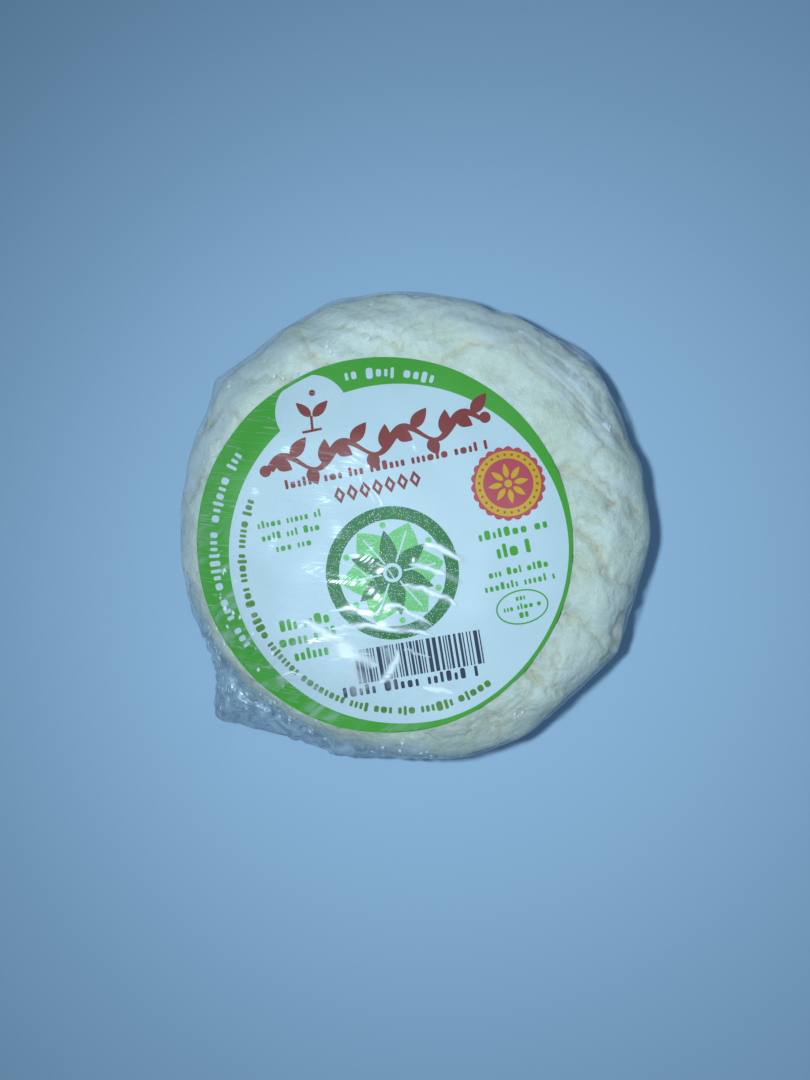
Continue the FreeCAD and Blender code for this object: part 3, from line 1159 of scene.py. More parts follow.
    def oval(self, draw: random.Random) -> list[Printed]:
        """A thin oval outline round three short rows."""
        centre = (17.8, -8.0)
        found = [
            Printed(ellipse(centre, 3.45, 2.25, self.print_turn, 56), Ink.GREEN),
            Printed(ellipse(centre, 3.25, 2.05, self.print_turn, 56), Ink.PAPER),
        ]
        for drop, length in ((1.15, 1.2), (0.0, 4.9), (-1.15, 1.2)):
            lean = math.radians(self.print_turn)
            place = (centre[0] - drop * math.sin(lean), centre[1] + drop * math.cos(lean))
            row = Row(place, length, 0.95, Ink.GREEN, self.print_turn, Weight.PLAIN, 4)
            found += row.shapes(draw)
        return found

    def rows(self, draw: random.Random) -> list[Printed]:
        """Every straight and curved row of small blocks."""
        green, white = Ink.GREEN, Ink.PAPER
        fine, bold = Weight.FINE, Weight.BOLD
        listing = [
            Row((0.26, 10.2), 26.6, 1.5, Ink.BROWN, 11.5),
            Row((-12.3, 3.19), 8.3, 1.35, green, 12.0, fine),
            Row((-12.1, 1.5), 7.6, 1.35, green, 12.0, fine),
            Row((-11.7, -0.15), 4.6, 1.35, green, 12.0, fine),
            Row((16.6, 1.75), 9.0, 1.7, green, 12.0, fine),
            Row((16.7, -0.75), 4.4, 1.9, green, 12.0, bold, 3),
            Row((17.3, -3.25), 7.8, 1.35, green, 12.0, fine),
            Row((17.5, -4.95), 9.2, 1.35, green, 12.0, fine),
            Row((-10.3, -10.1), 6.4, 1.55, green, 12.0, bold, 4),
            Row((-9.9, -12.05), 7.4, 1.55, green, 12.0, bold, 4),
            Row((-9.4, -14.1), 4.4, 1.55, green, 12.0, bold, 6),
            Arc(self.panel_centre, 51.5, 1.3, Ink.OLIVE, 0.0, bold, 9, 20.3, 160.0),
            Arc((0.0, 0.0), 26.4, 2.0, white, 0.0, fine, 8, 22.1, 148.0),
            Arc((0.0, 0.0), 11.6, 2.0, white, 0.0, fine, 4, 22.3, 73.5),
        ]
        found = []
        for row in listing:
            found += row.shapes(draw)
        return found

    def prints(self) -> list[Printed]:
        """Everything printed, in the order it is laid down."""
        draw = random.Random(self.seed)
        return (self.ground() + self.sprout() + self.vine() + self.braid() + self.rosette()
                + self.medallion() + self.bars(draw) + self.oval(draw) + self.rows(draw))

    def heights(self) -> Callable[[float, float], float]:
        """The label's upper face, drawn smooth over the hollows as stiff paper is.

        Returns:
            A function from a place on the label to a height.
        """
        step, margin = 0.5, 30
        count = int(2 * self.radius / step) + 5 + 2 * margin
        start = (self.centre[0] - step * (count - 1) / 2, self.centre[1] - step * (count - 1) / 2)
        level = np.full((count, count), -1e3)
        for i in range(margin, count - margin):
            for j in range(margin, count - margin):
                above = Vector((start[0] + i * step, start[1] + j * step, 40.0))
                hit = self.skin.hit(above, Vector((0, 0, -1)))
                if hit is not None:
                    level[i, j] = hit.z
        known = (level > 0).astype(float)
        places = step * np.arange(count)
        bend = (places[:, None] - places[None, :]) ** 2 / (2 * self.stiffness)

        def softened(values: np.ndarray, reach: float) -> np.ndarray:
            kernel = np.exp(-(np.arange(-5, 6) * step / reach) ** 2 / 2)
            weight = known.copy()
            values = values * known
            for axis in (0, 1):
                values = np.apply_along_axis(np.convolve, axis, values, kernel, "same")
                weight = np.apply_along_axis(np.convolve, axis, weight, kernel, "same")
            return values / np.maximum(weight, 1e-6)

        def draped(values: np.ndarray) -> np.ndarray:
            for _ in range(2):
                values = (values[:, None, :] - bend[None]).max(axis=2).T
            return values

        level = -draped(-draped(np.where(known > 0, softened(level, 0.6), -1e3)))
        level = softened(level, 0.9) + 0.03

        def cubic(a: float, b: float, c: float, d: float, share: float) -> float:
            bent = 2 * a - 5 * b + 4 * c - d + share * (3 * (b - c) + d - a)
            return b + 0.5 * share * (c - a + share * bent)

        def read(x: float, y: float) -> float:
            u, v = (x - start[0]) / step, (y - start[1]) / step
            i, j = int(min(max(u, 1), count - 3)), int(min(max(v, 1), count - 3))
            rows = [cubic(*level[i - 1 + k, j - 1:j + 3], v - j) for k in range(4)]
            return cubic(*rows, u - i)

        return read

    def trimmed(self, shape: Printed) -> list[Vector]:
        """A shape's outline, held inside the label and the thin green line round its panel."""
        limit = self.radius if shape.ink is Ink.GREEN else self.radius - self.rim_line
        return [Vector(p) * min(1.0, limit / max(math.hypot(*p), 1e-6)) for p in shape.outline]

    def build(self) -> bpy.types.Object:
        """Builds and dresses the label."""
        shapes = self.prints()
        corners: list[Vector] = []
        faces: list[list[int]] = []
        for shape in shapes:
            inside = anticlockwise(self.trimmed(shape))
            faces.append(list(range(len(corners), len(corners) + len(inside))))
            corners += inside
        reach = self.radius - 0.5 * self.grid_step
        steps = int(reach / self.grid_step) + 1
        for i in range(-steps, steps + 1):
            for j in range(-steps, steps + 1):
                spot = Vector((self.grid_step * (i + 0.5 * (j % 2)), self.grid_step * j * 0.866))
                if spot.length < reach:
                    corners.append(spot)
        flat, _, triangles, _, _, owners = delaunay_2d_cdt(corners, [], faces, 1, 1e-5)
        height = self.heights()
        count = len(flat)
        levels = [height(self.centre[0] + p.x, self.centre[1] + p.y) for p in flat]
        top = [(self.centre[0] + p.x * self.stretch, self.centre[1] + p.y * self.stretch)
               for p in flat]
        points = [(x * MM, y * MM, z * MM) for (x, y), z in zip(top, levels)]
        points += [(x * MM, y * MM, (z - self.thickness) * MM) for (x, y), z in zip(top, levels)]
        mesh_faces = [tuple(face) for face in triangles]
        inks = [shapes[max(owner)].ink.value for owner in owners]
        mesh_faces += [tuple(count + i for i in reversed(face)) for face in triangles]
        inks += [Ink.PAPER.value] * len(triangles)
        edges: dict[tuple[int, int], int] = {}
        for face in triangles:
            for a, b in zip(face, list(face[1:]) + [face[0]]):
                edges[(a, b)] = 1
        for a, b in edges:
            if (b, a) not in edges:
                mesh_faces.append((b, a, count + a, count + b))
                inks.append(Ink.PAPER.value)
        mesh = bpy.data.meshes.new("paper_label")
        mesh.from_pydata(points, [], mesh_faces)
        for finish in INKS:
            mesh.materials.append(finish.material(self.groups, PAPER))
        mesh.polygons.foreach_set("material_index", inks)
        mesh.shade_smooth()
        mesh.set_sharp_from_angle(angle=math.radians(50))
        piece = bpy.data.objects.new("paper_label", mesh)
        bpy.context.scene.collection.objects.link(piece)
        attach(piece, "root")
        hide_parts("label")
        return piece


# ---------------------------------------------------------------- the film


FILM_LOBES = (
    Lobe(42, 16, 1.8), Lobe(72, 6, -0.6), Lobe(88, 6, 0.3), Lobe(110, 15, 1.6), Lobe(130, 8, 0.8),
    Lobe(144, 6, 1.6), Lobe(158, 8, 0.5), Lobe(212, 8, 0.8), Lobe(224, 5, 2.6), Lobe(236, 7, 1.0),
    Lobe(250, 8, 1.4), Lobe(286, 7, 0.6), Lobe(297, 3.5, 0.3), Lobe(312, 7, -0.8),
    Lobe(328, 4, 0.9), Lobe(344, 10, -0.7),
)

# Creases pressed into the film; the material also whitens them and makes them mirror more: a
# painted highlight along each.
FILM_LINES = (
    Crease(((2.0, -2.5), (4.0, -3.2), (6.5, -4.4)), 0.40, 0.07),
    Crease(((0.0, -4.6), (3.0, -5.9), (5.8, -7.2)), 0.35, 0.09),
    Crease(((-1.2, -7.7), (2.0, -8.9), (5.4, -10.3)), 0.28, 0.09),
    Crease(((-9.7, -11.0), (-5.2, -11.9), (-4.2, -10.0), (-1.0, -11.5), (1.5, -13.0)), 0.30, 0.10),
    Crease(((-9.4, -12.7), (-3.5, -13.4), (-1.7, -13.1), (2.2, -14.0)), 0.30, 0.10),
    Crease(((-11.1, -7.2), (-8.9, -7.3), (-6.0, -8.3), (-4.4, -9.6)), 0.22, 0.06),
    Crease(((-7.9, -3.8), (-5.0, -5.2), (-4.2, -6.0)), 0.22, 0.06),
    Crease(((-14.0, -15.5), (-9.0, -14.4), (-5.0, -14.9), (-2.5, -17.6)), 0.35, 0.10),
    Crease(((-18.0, -19.9), (-14.5, -20.2), (-12.5, -21.6)), 0.30, 0.10),
    Crease(((1.3, -21.9), (5.2, -20.7)), 0.40, 0.06),
    Crease(((16.6, 20.9), (20.5, 17.6), (24.2, 13.7)), 0.20, 0.12),
    Crease(((17.4, 21.4), (21.2, 18.0), (24.9, 14.0)), 0.20, 0.12),
    Crease(((18.6, 21.6), (22.0, 18.6), (25.3, 14.6)), 0.20, 0.11),
    Crease(((14.2, 22.6), (18.2, 18.9), (22.0, 14.6)), 0.22, 0.10),
    Crease(((23.8, 12.6), (25.6, 13.8)), 0.45, 0.14),
    Crease(((-28.5, 15.4), (-27.4, 14.8)), 0.35, 0.14),
    Crease(((-24.2, 17.0), (-22.8, 17.9)), 0.35, 0.14),
    Crease(((-16.9, 19.2), (-15.6, 20.0)), 0.30, 0.12),
    Crease(((-10.0, 22.4), (-8.8, 23.4)), 0.30, 0.12),
    Crease(((-6.0, 24.8), (-4.8, 25.4)), 0.30, 0.12),
    Crease(((-26.8, -16.6), (-25.4, -15.2)), 0.35, 0.14),
    Crease(((-25.6, -6.0), (-24.6, -5.2)), 0.28, 0.12),
    Crease(((-24.8, -9.4), (-23.9, -8.9)), 0.28, 0.12),
    Crease(((-22.2, -15.2), (-21.2, -14.2)), 0.28, 0.12),
    Crease(((-19.0, -18.4), (-18.2, -17.2)), 0.28, 0.12),
)

# Painted sheens: broad white patches on the film where it lies over ridges of the rind and over the
# label's lower left.
FILM_SHEENS = (
    Crease(((15.0, 24.2), (20.2, 20.6), (24.4, 16.4)), 1.5, 0.80),
    Crease(((19.4, 17.0), (23.0, 14.4)), 0.8, 0.60),
    Crease(((6.8, 26.2), (12.8, 24.6)), 1.0, 0.65),
    Crease(((12.0, 21.4), (16.8, 18.6)), 0.8, 0.35),
    Crease(((24.8, 7.6), (28.6, 4.0)), 1.0, 0.35),
    Crease(((22.6, 12.6), (24.6, 8.6)), 0.8, 0.35),
    Crease(((-9.5, -16.8), (-7.2, -21.2)), 1.3, 0.70),
    Crease(((-14.6, -13.6), (-12.4, -14.8)), 0.9, 0.45),
    Crease(((-3.4, -16.4), (-3.2, -20.8)), 0.7, 0.40),
)

# Painted glints: bright near-white streaks drawn on the film over the label and at the upper right
# of the rind.
PAINTED_GLINT_STROKES = (
    GlintStroke((-11.2, -11.0), (-4.6, -11.7), 0.56, 0.5),
    GlintStroke((-5.6, -11.9), (-0.2, -11.8), 0.42, 1.5),
    GlintStroke((-1.4, -11.2), (2.4, -13.1), 0.46, 0.3),
    GlintStroke((-11.2, -13.4), (2.6, -14.4), 0.64, 0.7),
    GlintStroke((-1.8, -7.6), (5.6, -10.2), 0.60, 0.4),
    GlintStroke((0.9, -2.3), (6.2, -4.5), 0.78, 0.2),
    GlintStroke((-0.8, -5.0), (4.1, -6.3), 0.56, 0.2, 0.9),
    GlintStroke((1.0, -21.4), (5.3, -21.9), 0.95, 0.1),
    GlintStroke((-18.0, -20.1), (-15.0, -19.8), 0.30, 0.5),
    GlintStroke((-5.2, -4.6), (-2.3, -7.4), 0.20, 0.2, 0.8),
    GlintStroke((-10.4, -4.7), (-5.4, -7.4), 0.16, 0.4, 0.7),
    GlintStroke((-12.6, -14.0), (-5.0, -18.6), 2.10, 0.3, 0.8),
    GlintStroke((-10.8, -17.6), (-6.0, -16.6), 0.60, 0.2, 0.8),
    GlintStroke((-2.2, -16.2), (-4.6, -20.6), 0.90, 0.7),
    GlintStroke((-1.4, -16.3), (2.2, -17.2), 0.30, 0.2, 0.6),
    GlintStroke((-14.8, -12.4), (-11.0, -14.5), 1.10, 0.1, 0.9),
    GlintStroke((13.8, 26.4), (17.0, 24.2), 0.70, 0.2, 0.5),
    GlintStroke((17.4, 23.9), (23.4, 19.0), 0.80, 0.3, 0.45),
    GlintStroke((25.0, 13.9), (26.2, 12.9), 0.45, 0.0, 0.9),
)

# Places where painted glints, small near-white dots, are scattered over the film.
FILM_SPARKS = (
    Crease(((-25.6, -5.0), (-24.6, -11.0), (-21.6, -16.4), (-16.4, -20.6)), 1.1),
    Crease(((-27.8, -16.6), (-27.0, -20.5), (-25.8, -24.0)), 2.4),
    Crease(((-21.0, -24.0), (-14.0, -28.0)), 1.6),
    Crease(((-4.0, -30.0), (3.0, -30.6)), 1.4),
    Crease(((-7.8, 26.6), (-5.6, 25.6)), 0.9),
    Crease(((-11.6, 23.5), (-10.6, 23.0)), 0.9),
    Crease(((-18.6, 20.6), (-17.4, 19.8)), 0.9),
    Crease(((-10.2, 28.6), (-5.8, 30.0)), 0.8),
    Crease(((-25.9, 21.0), (-25.0, 18.2)), 0.9),
    Crease(((-30.3, 16.4), (-29.5, 15.0)), 0.9),
    Crease(((24.8, 14.0), (26.6, 12.6)), 0.9),
    Crease(((13.2, -25.0), (14.8, -24.0)), 0.7),
)


@dataclass(frozen=True)
class FilmFinish:
    """Clear, glossy film, a little milky; whiter where crumpled, stretched or seen edge on, much of
    that white being painted glare, sheens and glints, with painted shade in its gathered fold.

    Attributes:
        clear: tint of what shows through.
        milk_and_glare: the film where it is taut and white, and the white of its painted glare and
            sheens.
        fold_shade: the film where it is loose, a darker blue-grey: painted shade inside the
            gathered fold, along with the dimming of its stacked layers.
        glint: the near-white of its painted glints.
        ior: refractive index.
        mirror_limit: the most it mirrors, edge on.
        tight_mirror: share of the mirroring left where it is drawn tight.
        gloss_roughness: roughness of what it mirrors.
        milk_roughness: roughness of its white parts.
        bump: depth of its fine relief.
        sway: how far the painted glint streaks stray from a plain bow.
    """

    clear: Colour = (0.985, 0.99, 0.995)
    milk_and_glare: Colour = (0.90, 0.91, 0.95)
    fold_shade: Colour = (0.52, 0.64, 0.74)
    glint: Colour = (0.97, 0.98, 1.0)
    ior: float = 1.5
    mirror_limit: float = 0.2
    tight_mirror: float = 0.05
    gloss_roughness: float = 0.16
    milk_roughness: float = 0.45
    bump: float = 0.07
    sway: float = 1.6

    def height(self, graph: Graph, place: bpy.types.NodeSocket,
               loose: bpy.types.NodeSocket) -> bpy.types.NodeSocket:
        """Fine relief: long faint pulls over the top, and a crumple where the film is loose."""
        taut = graph.noise(graph.stretched(place, (90.0, 1700.0, 400.0), 6.0), 1.0, 2.0, 0.5, 0.6)
        slant = graph.noise(graph.stretched(place, (150.0, 800.0, 400.0), 28.0), 1.0, 2.0, 0.55,
                            0.8)
        left = graph.part(place, "X")
        leftward = graph.span(left, -0.002, -0.018)
        pull = graph.times(taut, graph.maths("MULTIPLY_ADD", leftward, 0.5, 0.08))
        drift = graph.times(slant, 0.16)
        crumple = graph.noise(graph.stretched(place, (420.0, 560.0, 420.0), 20.0), 1.0, 3.0, 0.55,
                              0.6)
        folds = graph.times(crumple, graph.times(loose, 2.6))
        return graph.plus(graph.plus(pull, drift), folds)

    def haze(self, graph: Graph, place: bpy.types.NodeSocket, loose: bpy.types.NodeSocket,
             lines: bpy.types.NodeSocket, rim: bpy.types.NodeSocket,
             sparkle: bpy.types.NodeSocket) -> bpy.types.NodeSocket:
        """Share of the film that is white: more edge on, at the rim, in the fold and on its
        creases, much of it painted glare, sheens and glints.
        """
        edge_on = graph.add("ShaderNodeLayerWeight", {"Blend": 0.25}).outputs["Facing"]
        total = graph.maths("MULTIPLY_ADD", graph.maths("POWER", edge_on, 4.0), 0.34, 0.02)
        # Painted glare: a streaky white haze on the film towards the lower left, seen from above,
        # over its own milkiness.
        outward = graph.towards(place, -225)
        near = graph.span(outward, 0.010, 0.027)
        streak = graph.noise(graph.stretched(place, (120.0, 520.0, 300.0), -40.0), 1.0, 3.0, 0.6,
                             0.5)
        veil_and_glare = graph.times(near, graph.span(streak, 0.46, 0.70, 0.0, 0.24))
        crumple = graph.noise(graph.stretched(place, (520.0, 260.0, 110.0), 12.0), 1.0, 4.0, 0.65,
                              0.8)
        gathered = graph.times(loose, graph.span(crumple, 0.38, 0.64, 0.16, 0.66))
        total = graph.plus(total, graph.most(veil_and_glare, gathered))
        left = graph.part(place, "X")
        # Painted glare: fine white streaks across the film over the left of the label.
        glare_streak = graph.noise(graph.stretched(place, (75.0, 1500.0, 300.0), 5.0), 1.0, 1.5, 0.5, 0.4)
        glare_streak = graph.maths("ABSOLUTE", graph.minus(glare_streak, 0.52))
        glare_streak = graph.span(glare_streak, 0.0, 0.020, 0.26, 0.0)
        glare_streak = graph.times(glare_streak, graph.span(left, -0.004, -0.016))
        total = graph.most(total, glare_streak)
        mottle = graph.span(graph.noise(place, 230.0, 4.0, 0.6, 0.6), 0.38, 0.62, 0.22, 1.0)
        # The rim's white, partly the film's own haze and partly painted light and sheen, broken up
        # by a mottle.
        total = graph.plus(total, graph.times(rim, graph.times(mottle, 0.85)))
        # Painted highlight: the film is whitened along its creases.
        total = graph.maths("MULTIPLY_ADD", lines, 0.30, total)
        return graph.maths("MINIMUM", graph.maths("MULTIPLY_ADD", sparkle, 0.9, total), 0.95)

    def sparkle(self, graph: Graph, place: bpy.types.NodeSocket) -> bpy.types.NodeSocket:
        """Painted glints: small sharp near-white dots scattered where the film is marked to have
        them.
        """
        spark = graph.mark("spark")
        cells = graph.add("ShaderNodeTexVoronoi", {
            "Vector": graph.stretched(place, (1350.0, 900.0, 1100.0), 12.0), "Scale": 1.0})
        pick = graph.add("ShaderNodeSeparateColor", {0: cells.outputs["Color"]}).outputs["Red"]
        chosen = graph.maths("GREATER_THAN", graph.plus(pick, graph.times(spark, 0.5)), 1.0)
        dot = graph.span(cells.outputs["Distance"], 0.16, 0.44, 1.0, 0.0)
        return graph.times(dot, chosen)

    def glint_strokes(self, graph: Graph, place: bpy.types.NodeSocket) -> bpy.types.NodeSocket:
        """Painted glints: bright streaks across the label, feathered along their length."""
        group = make_glint_stroke()
        sway = graph.add("ShaderNodeTexNoise", {"Vector": place, "Scale": 330.0, "Detail": 2.0})
        centred = graph.vector("SUBTRACT", {0: sway.outputs["Color"], 1: (0.5, 0.5, 0.5)})
        shaken = graph.vector("MULTIPLY_ADD", {0: centred, 1: (self.sway * MM,) * 3, 2: place})
        total = 0.0
        for stroke in PAINTED_GLINT_STROKES:
            node = graph.add("ShaderNodeGroup", node_tree=group)
            graph.tree.links.new(shaken, node.inputs["Place"])
            way = (stroke.end[0] - stroke.start[0], stroke.end[1] - stroke.start[1])
            node.inputs["From"].default_value = (stroke.start[0] * MM, stroke.start[1] * MM, 0.0)
            node.inputs["Turn"].default_value = (0.0, 0.0, math.atan2(way[1], way[0]))
            node.inputs["Size"].default_value = (math.hypot(*way) * MM, stroke.width * MM, 1.0)
            node.inputs["Bow"].default_value = 4 * stroke.bow / stroke.width
            mask = graph.times(node.outputs["Mask"], stroke.strength)
            total = graph.most(mask, total)
        feather = graph.noise(graph.stretched(place, (260.0, 1500.0, 300.0), 12.0), 1.0, 3.0, 0.6,
                              0.3)
        height = graph.part(place, "Z")
        upper = graph.span(height, 0.010, 0.014)
        return graph.times(total, graph.times(upper, graph.span(feather, 0.34, 0.52, 0.62, 1.0)))

    def material(self) -> bpy.types.Material:
        """Builds the material."""
        material, graph, place = new_material("clear_film")
        loose = graph.mark("loose")
        lines = graph.mark("lines")
        rim = graph.mark("rim")
        # Painted glints: the sparkles and glint streaks turn the film near-white and nearly opaque.
        sparkle = graph.most(self.sparkle(graph, place), self.glint_strokes(graph, place))
        # Painted shade: the loose, gathered film takes a darker blue-grey in place of its white.
        milk_shade_and_glint = graph.blend(loose, rgba(self.milk_and_glare), rgba(self.fold_shade))
        milk_shade_and_glint = graph.blend(sparkle, milk_shade_and_glint, rgba(self.glint))
        bump = graph.add("ShaderNodeBump", {
            "Strength": 1.0, "Distance": self.bump * MM,
            "Height": self.height(graph, place, loose)}).outputs[0]
        gloss = graph.add("ShaderNodeBsdfPrincipled", {
            "Base Color": (1, 1, 1, 1), "Metallic": 1.0, "Roughness": self.gloss_roughness,
            "Normal": bump})
        # Painted light: where the rim mark is, the film's white is lit as if it faced up.
        lifted = graph.vector("SCALE", {0: (0.0, 0.0, 0.9), "Scale": rim})
        toward_light = graph.vector("NORMALIZE", {0: graph.vector("ADD", {0: bump, 1: lifted})})
        milk_and_glare = graph.add("ShaderNodeBsdfPrincipled", {
            "Base Color": milk_shade_and_glint, "Roughness": self.milk_roughness, "Normal": toward_light})
        through = graph.add("ShaderNodeBsdfTransparent", {"Color": rgba(self.clear)})
        body = graph.add("ShaderNodeMixShader", {
            0: self.haze(graph, place, loose, lines, rim, sparkle), 1: through.outputs[0],
            2: milk_and_glare.outputs[0]})
        mirror = graph.add("ShaderNodeFresnel", {"IOR": self.ior, "Normal": bump}).outputs[0]
        mirror = graph.maths("MINIMUM", mirror, self.mirror_limit)
        keen = graph.maths("MULTIPLY_ADD", graph.most(lines, loose), 1.0 - self.tight_mirror,
                           self.tight_mirror)
        surface = graph.add("ShaderNodeMixShader", {
            0: graph.times(mirror, keen), 1: body.outputs[0], 2: gloss.outputs[0]})
        graph.add("ShaderNodeOutputMaterial", {"Surface": surface.outputs[0]})
        return material


@dataclass
class Film:
    """The clear film: tight on the top, pleated under the foot, crumpled in its gathered fold."""

    wrapped: list[bpy.types.Object]
    fold_from: float = 190.0
    fold_to: float = 278.0
    fold_columns: int = 300
    plain_columns: int = 420
    stations: Stations = field(default_factory=lambda: Stations(20, 9, 18, 34, 48))
    clearance: float = 0.12
    root: float = 28.5
    covered: tuple[Point, float] = ((-4.0, -2.45), 25.0)
    pleat_pitch: float = 2.3
    pleat_height: float = 0.26
    dent_size: float = 5.2
    dent_depth: float = 0.55
    seed: float = 3.0
    foot_pleats: int = 46
    foot_pleat_height: float = 0.16

    def columns(self) -> np.ndarray:
        """Angles of the grid's columns, closest together in the gathered fold."""
        start, end = math.radians(self.fold_from), math.radians(self.fold_to)
        fold = start + (end - start) * np.arange(self.fold_columns) / self.fold_columns
        rest = end + (TAU - (end - start)) * np.arange(self.plain_columns) / self.plain_columns
        return np.concatenate([fold, rest])

    def beyond_label(self, x: np.ndarray, y: np.ndarray) -> np.ndarray:
        """0 over the label and just outside it, 1 from a little further out."""
        centre, radius = self.covered
        return rise(radius + 0.2, radius + 2.2, np.hypot(x - centre[0], y - centre[1]))

    def looseness(self, turns: np.ndarray, x: np.ndarray, y: np.ndarray) -> np.ndarray:
        """How loose the film is: 0 where it lies tight, 1 in the gathered fold.

        Args:
            turns: angle of each column.
            x: place of each point across.
            y: and along.

        Returns:
            Values of [column, row].
        """
        degrees = np.degrees(turns) % 360
        fold = rise(186, 206, degrees) * (1 - rise(262, 292, degrees))
        side = 0.12 + 0.30 * (1 - rise(175, 200, degrees)) * rise(95, 135, degrees)
        far = rise(25.5, 30.5, np.hypot(x, y)) * self.beyond_label(x, y)
        return np.maximum(fold[:, None], side[:, None]) * far

    def drawn(self, starts: np.ndarray, ways: np.ndarray, own: np.ndarray, under: np.ndarray,
              turns: np.ndarray) -> np.ndarray:
        """Depths of a skin drawn tight over what it wraps, away from the foot and the fold.

        Args:
            starts: start of each ray.
            ways: its direction.
            own: depth at which it meets the CAD film.
            under: depth at which it meets the cheese or the label.
            turns: angle of each column.

        Returns:
            Depths of [column, row].
        """
        limit = under - self.clearance
        taut = limit.copy()
        for _ in range(14):
            taut = np.minimum(blurred(taut, (4, 2)), limit)
        taut = np.minimum(blurred(taut, (2, 1)), under - 0.5 * self.clearance)
        degrees = np.degrees(turns)[:, None] % 360
        fold = rise(178, 204, degrees) * (1 - rise(266, 296, degrees))
        heights = starts[:, :, 2] + ways[:, :, 2] * own
        x = starts[:, :, 0] + ways[:, :, 0] * own
        y = starts[:, :, 1] + ways[:, :, 1] * own
        upper = rise(9.0, 16.0, heights)
        share = upper * (1 - fold * rise(26.0, 29.0, np.hypot(x, y)) * self.beyond_label(x, y))
        drawn = np.maximum(own, own + (taut - own) * share)
        return np.where(heights > 1.0, np.minimum(drawn, under - 0.5 * self.clearance), drawn)

    def shape(self) -> tuple[np.ndarray, dict[str, np.ndarray]]:
        """Points of the film as [column, row, xyz], and its marks: loose places, creases with
        painted highlights, rim with painted sheens and light, and sparks.
        """
        columns = self.columns()
        disc = DiscGrid(NodeSkin("film"), columns, self.stations)
        starts, ways = disc.rays()
        own = disc.depths(starts, ways, disc.skin.tree)
        points = starts + ways * own[:, :, None]
        out = np.hypot(points[:, :, 0], points[:, :, 1])
        reach = out.max(axis=1, keepdims=True)
        wanted = reach + lobed(FILM_LOBES, columns)[:, None]
        moved = self.root + (out - self.root) * (wanted - self.root) / (reach - self.root)
        points[:, :, :2] *= np.where(out > self.root, moved / np.maximum(out, 1.0), 1.0)[:, :, None]
        own = ((points - starts) * ways).sum(axis=2)
        under = disc.depths(starts, ways, tree_of(self.wrapped))
        grid = starts + ways * self.drawn(starts, ways, own, under, columns)[:, :, None]
        facing = normals_of(grid)
        x, y, z = grid[:, :, 0], grid[:, :, 1], grid[:, :, 2]
        radii, turns = np.hypot(x, y), np.arctan2(y, x)
        loose = self.looseness(columns, x, y)
        up = facing[:, :, 2]
        lift = np.zeros_like(x)
        lines = np.zeros_like(x)
        for crease in FILM_LINES:
            mark = crease.mark(x, y) * rise(0.3, 0.8, up)
            lift += mark * crease.height
            lines = np.maximum(lines, mark)
        reach = radii.max(axis=1, keepdims=True)
        run = np.cumsum(np.abs(np.diff(columns, append=columns[:1] + TAU)))[:, None] * reach
        wobble = (1.3 * np.sin(0.31 * radii + 2.0) + 0.8 * np.sin(0.83 * z + 1.0)
                  + 3.2 * np.sin(0.37 * run))
        pleat = np.sin(TAU * run / self.pleat_pitch + wobble)
        lift += self.pleat_height * 0.5 * (pleat - 1) * loose ** 2 * rise(0.3, 1.6, z)
        grid = grid + facing * lift[:, :, None]
        under_foot = (up < -0.5) * rise(2.0, 8.0, radii) * (1 - rise(24.0, 29.0, radii))
        folds = 0.5 + 0.5 * np.sin(self.foot_pleats * turns + 2.2 * np.sin(radii / 5.0))
        grid[:, :, 2] = np.maximum(grid[:, :, 2] + under_foot * folds * self.foot_pleat_height, 0.0)
        # The rim mark: white haze on the film at its outline and over the rind's shoulder, set per
        # angle; partly the film's own haze seen edge on, partly painted light on those sides.
        broad = 0.45 + lobed((Lobe(45, 20, 0.55), Lobe(125, 26, 0.15)), columns)
        veil_and_glare = 0.14 + lobed((Lobe(54, 30, 0.50), Lobe(100, 20, 0.08), Lobe(168, 36, 0.46),
                             Lobe(290, 20, -0.10)), columns)
        upper = 0.35 + 0.65 * rise(4.0, 11.0, z)
        clear_of_label = 0.12 + 0.88 * self.beyond_label(x, y)
        rim = np.maximum(rise(30.4, 33.2, radii) * upper * np.minimum(broad, 1.0)[:, None],
                         rise(22.0, 30.0, radii) * veil_and_glare[:, None] * clear_of_label)
        # Painted sheens are added to the rim mark.
        for sheen in FILM_SHEENS:
            rim = np.maximum(rim, sheen.mark(x, y) * rise(0.1, 0.6, up) * sheen.height)
        spark = np.zeros_like(x)
        for place in FILM_SPARKS:
            spark = np.maximum(spark, place.mark(x, y) * rise(-0.1, 0.3, up))
        return grid, {"loose": loose, "lines": lines, "rim": rim, "spark": spark}

    def crumple(self, graph: Graph, given: bpy.types.Node,
                ) -> tuple[bpy.types.NodeSocket, bpy.types.NodeSocket]:
        """Small dents pushed into the film where it is loose."""
        place = graph.add("GeometryNodeInputPosition").outputs[0]
        tall = graph.vector("MULTIPLY", {0: place, 1: (1.0, 1.0, 0.42)})
        depth = 0.0
        for share, weight in ((1.0, 0.65), (0.45, 0.35)):
            scale = graph.maths("DIVIDE", 1.0 / share, given.outputs["Dent Size"])
            cells = graph.add("ShaderNodeTexVoronoi", {
                "Vector": tall, "W": given.outputs["Seed"], "Scale": scale},
                voronoi_dimensions="4D", feature="DISTANCE_TO_EDGE")
            dent = graph.span(cells.outputs["Distance"], 0.0, 0.34, 0.0, weight)
            depth = graph.plus(depth, dent)
        depth = graph.times(depth, given.outputs["Dent Depth"])
        above = graph.span(graph.part(place, "Z"), 0.4 * MM, 1.6 * MM)
        loose = graph.maths("POWER", graph.kept("loose"), 1.5)
        depth = graph.times(depth, graph.times(loose, above))
        facing = graph.add("GeometryNodeInputNormal").outputs[0]
        inward = graph.vector("SCALE", {0: facing, "Scale": graph.times(depth, -1.0)})
        return given.outputs["Geometry"], inward

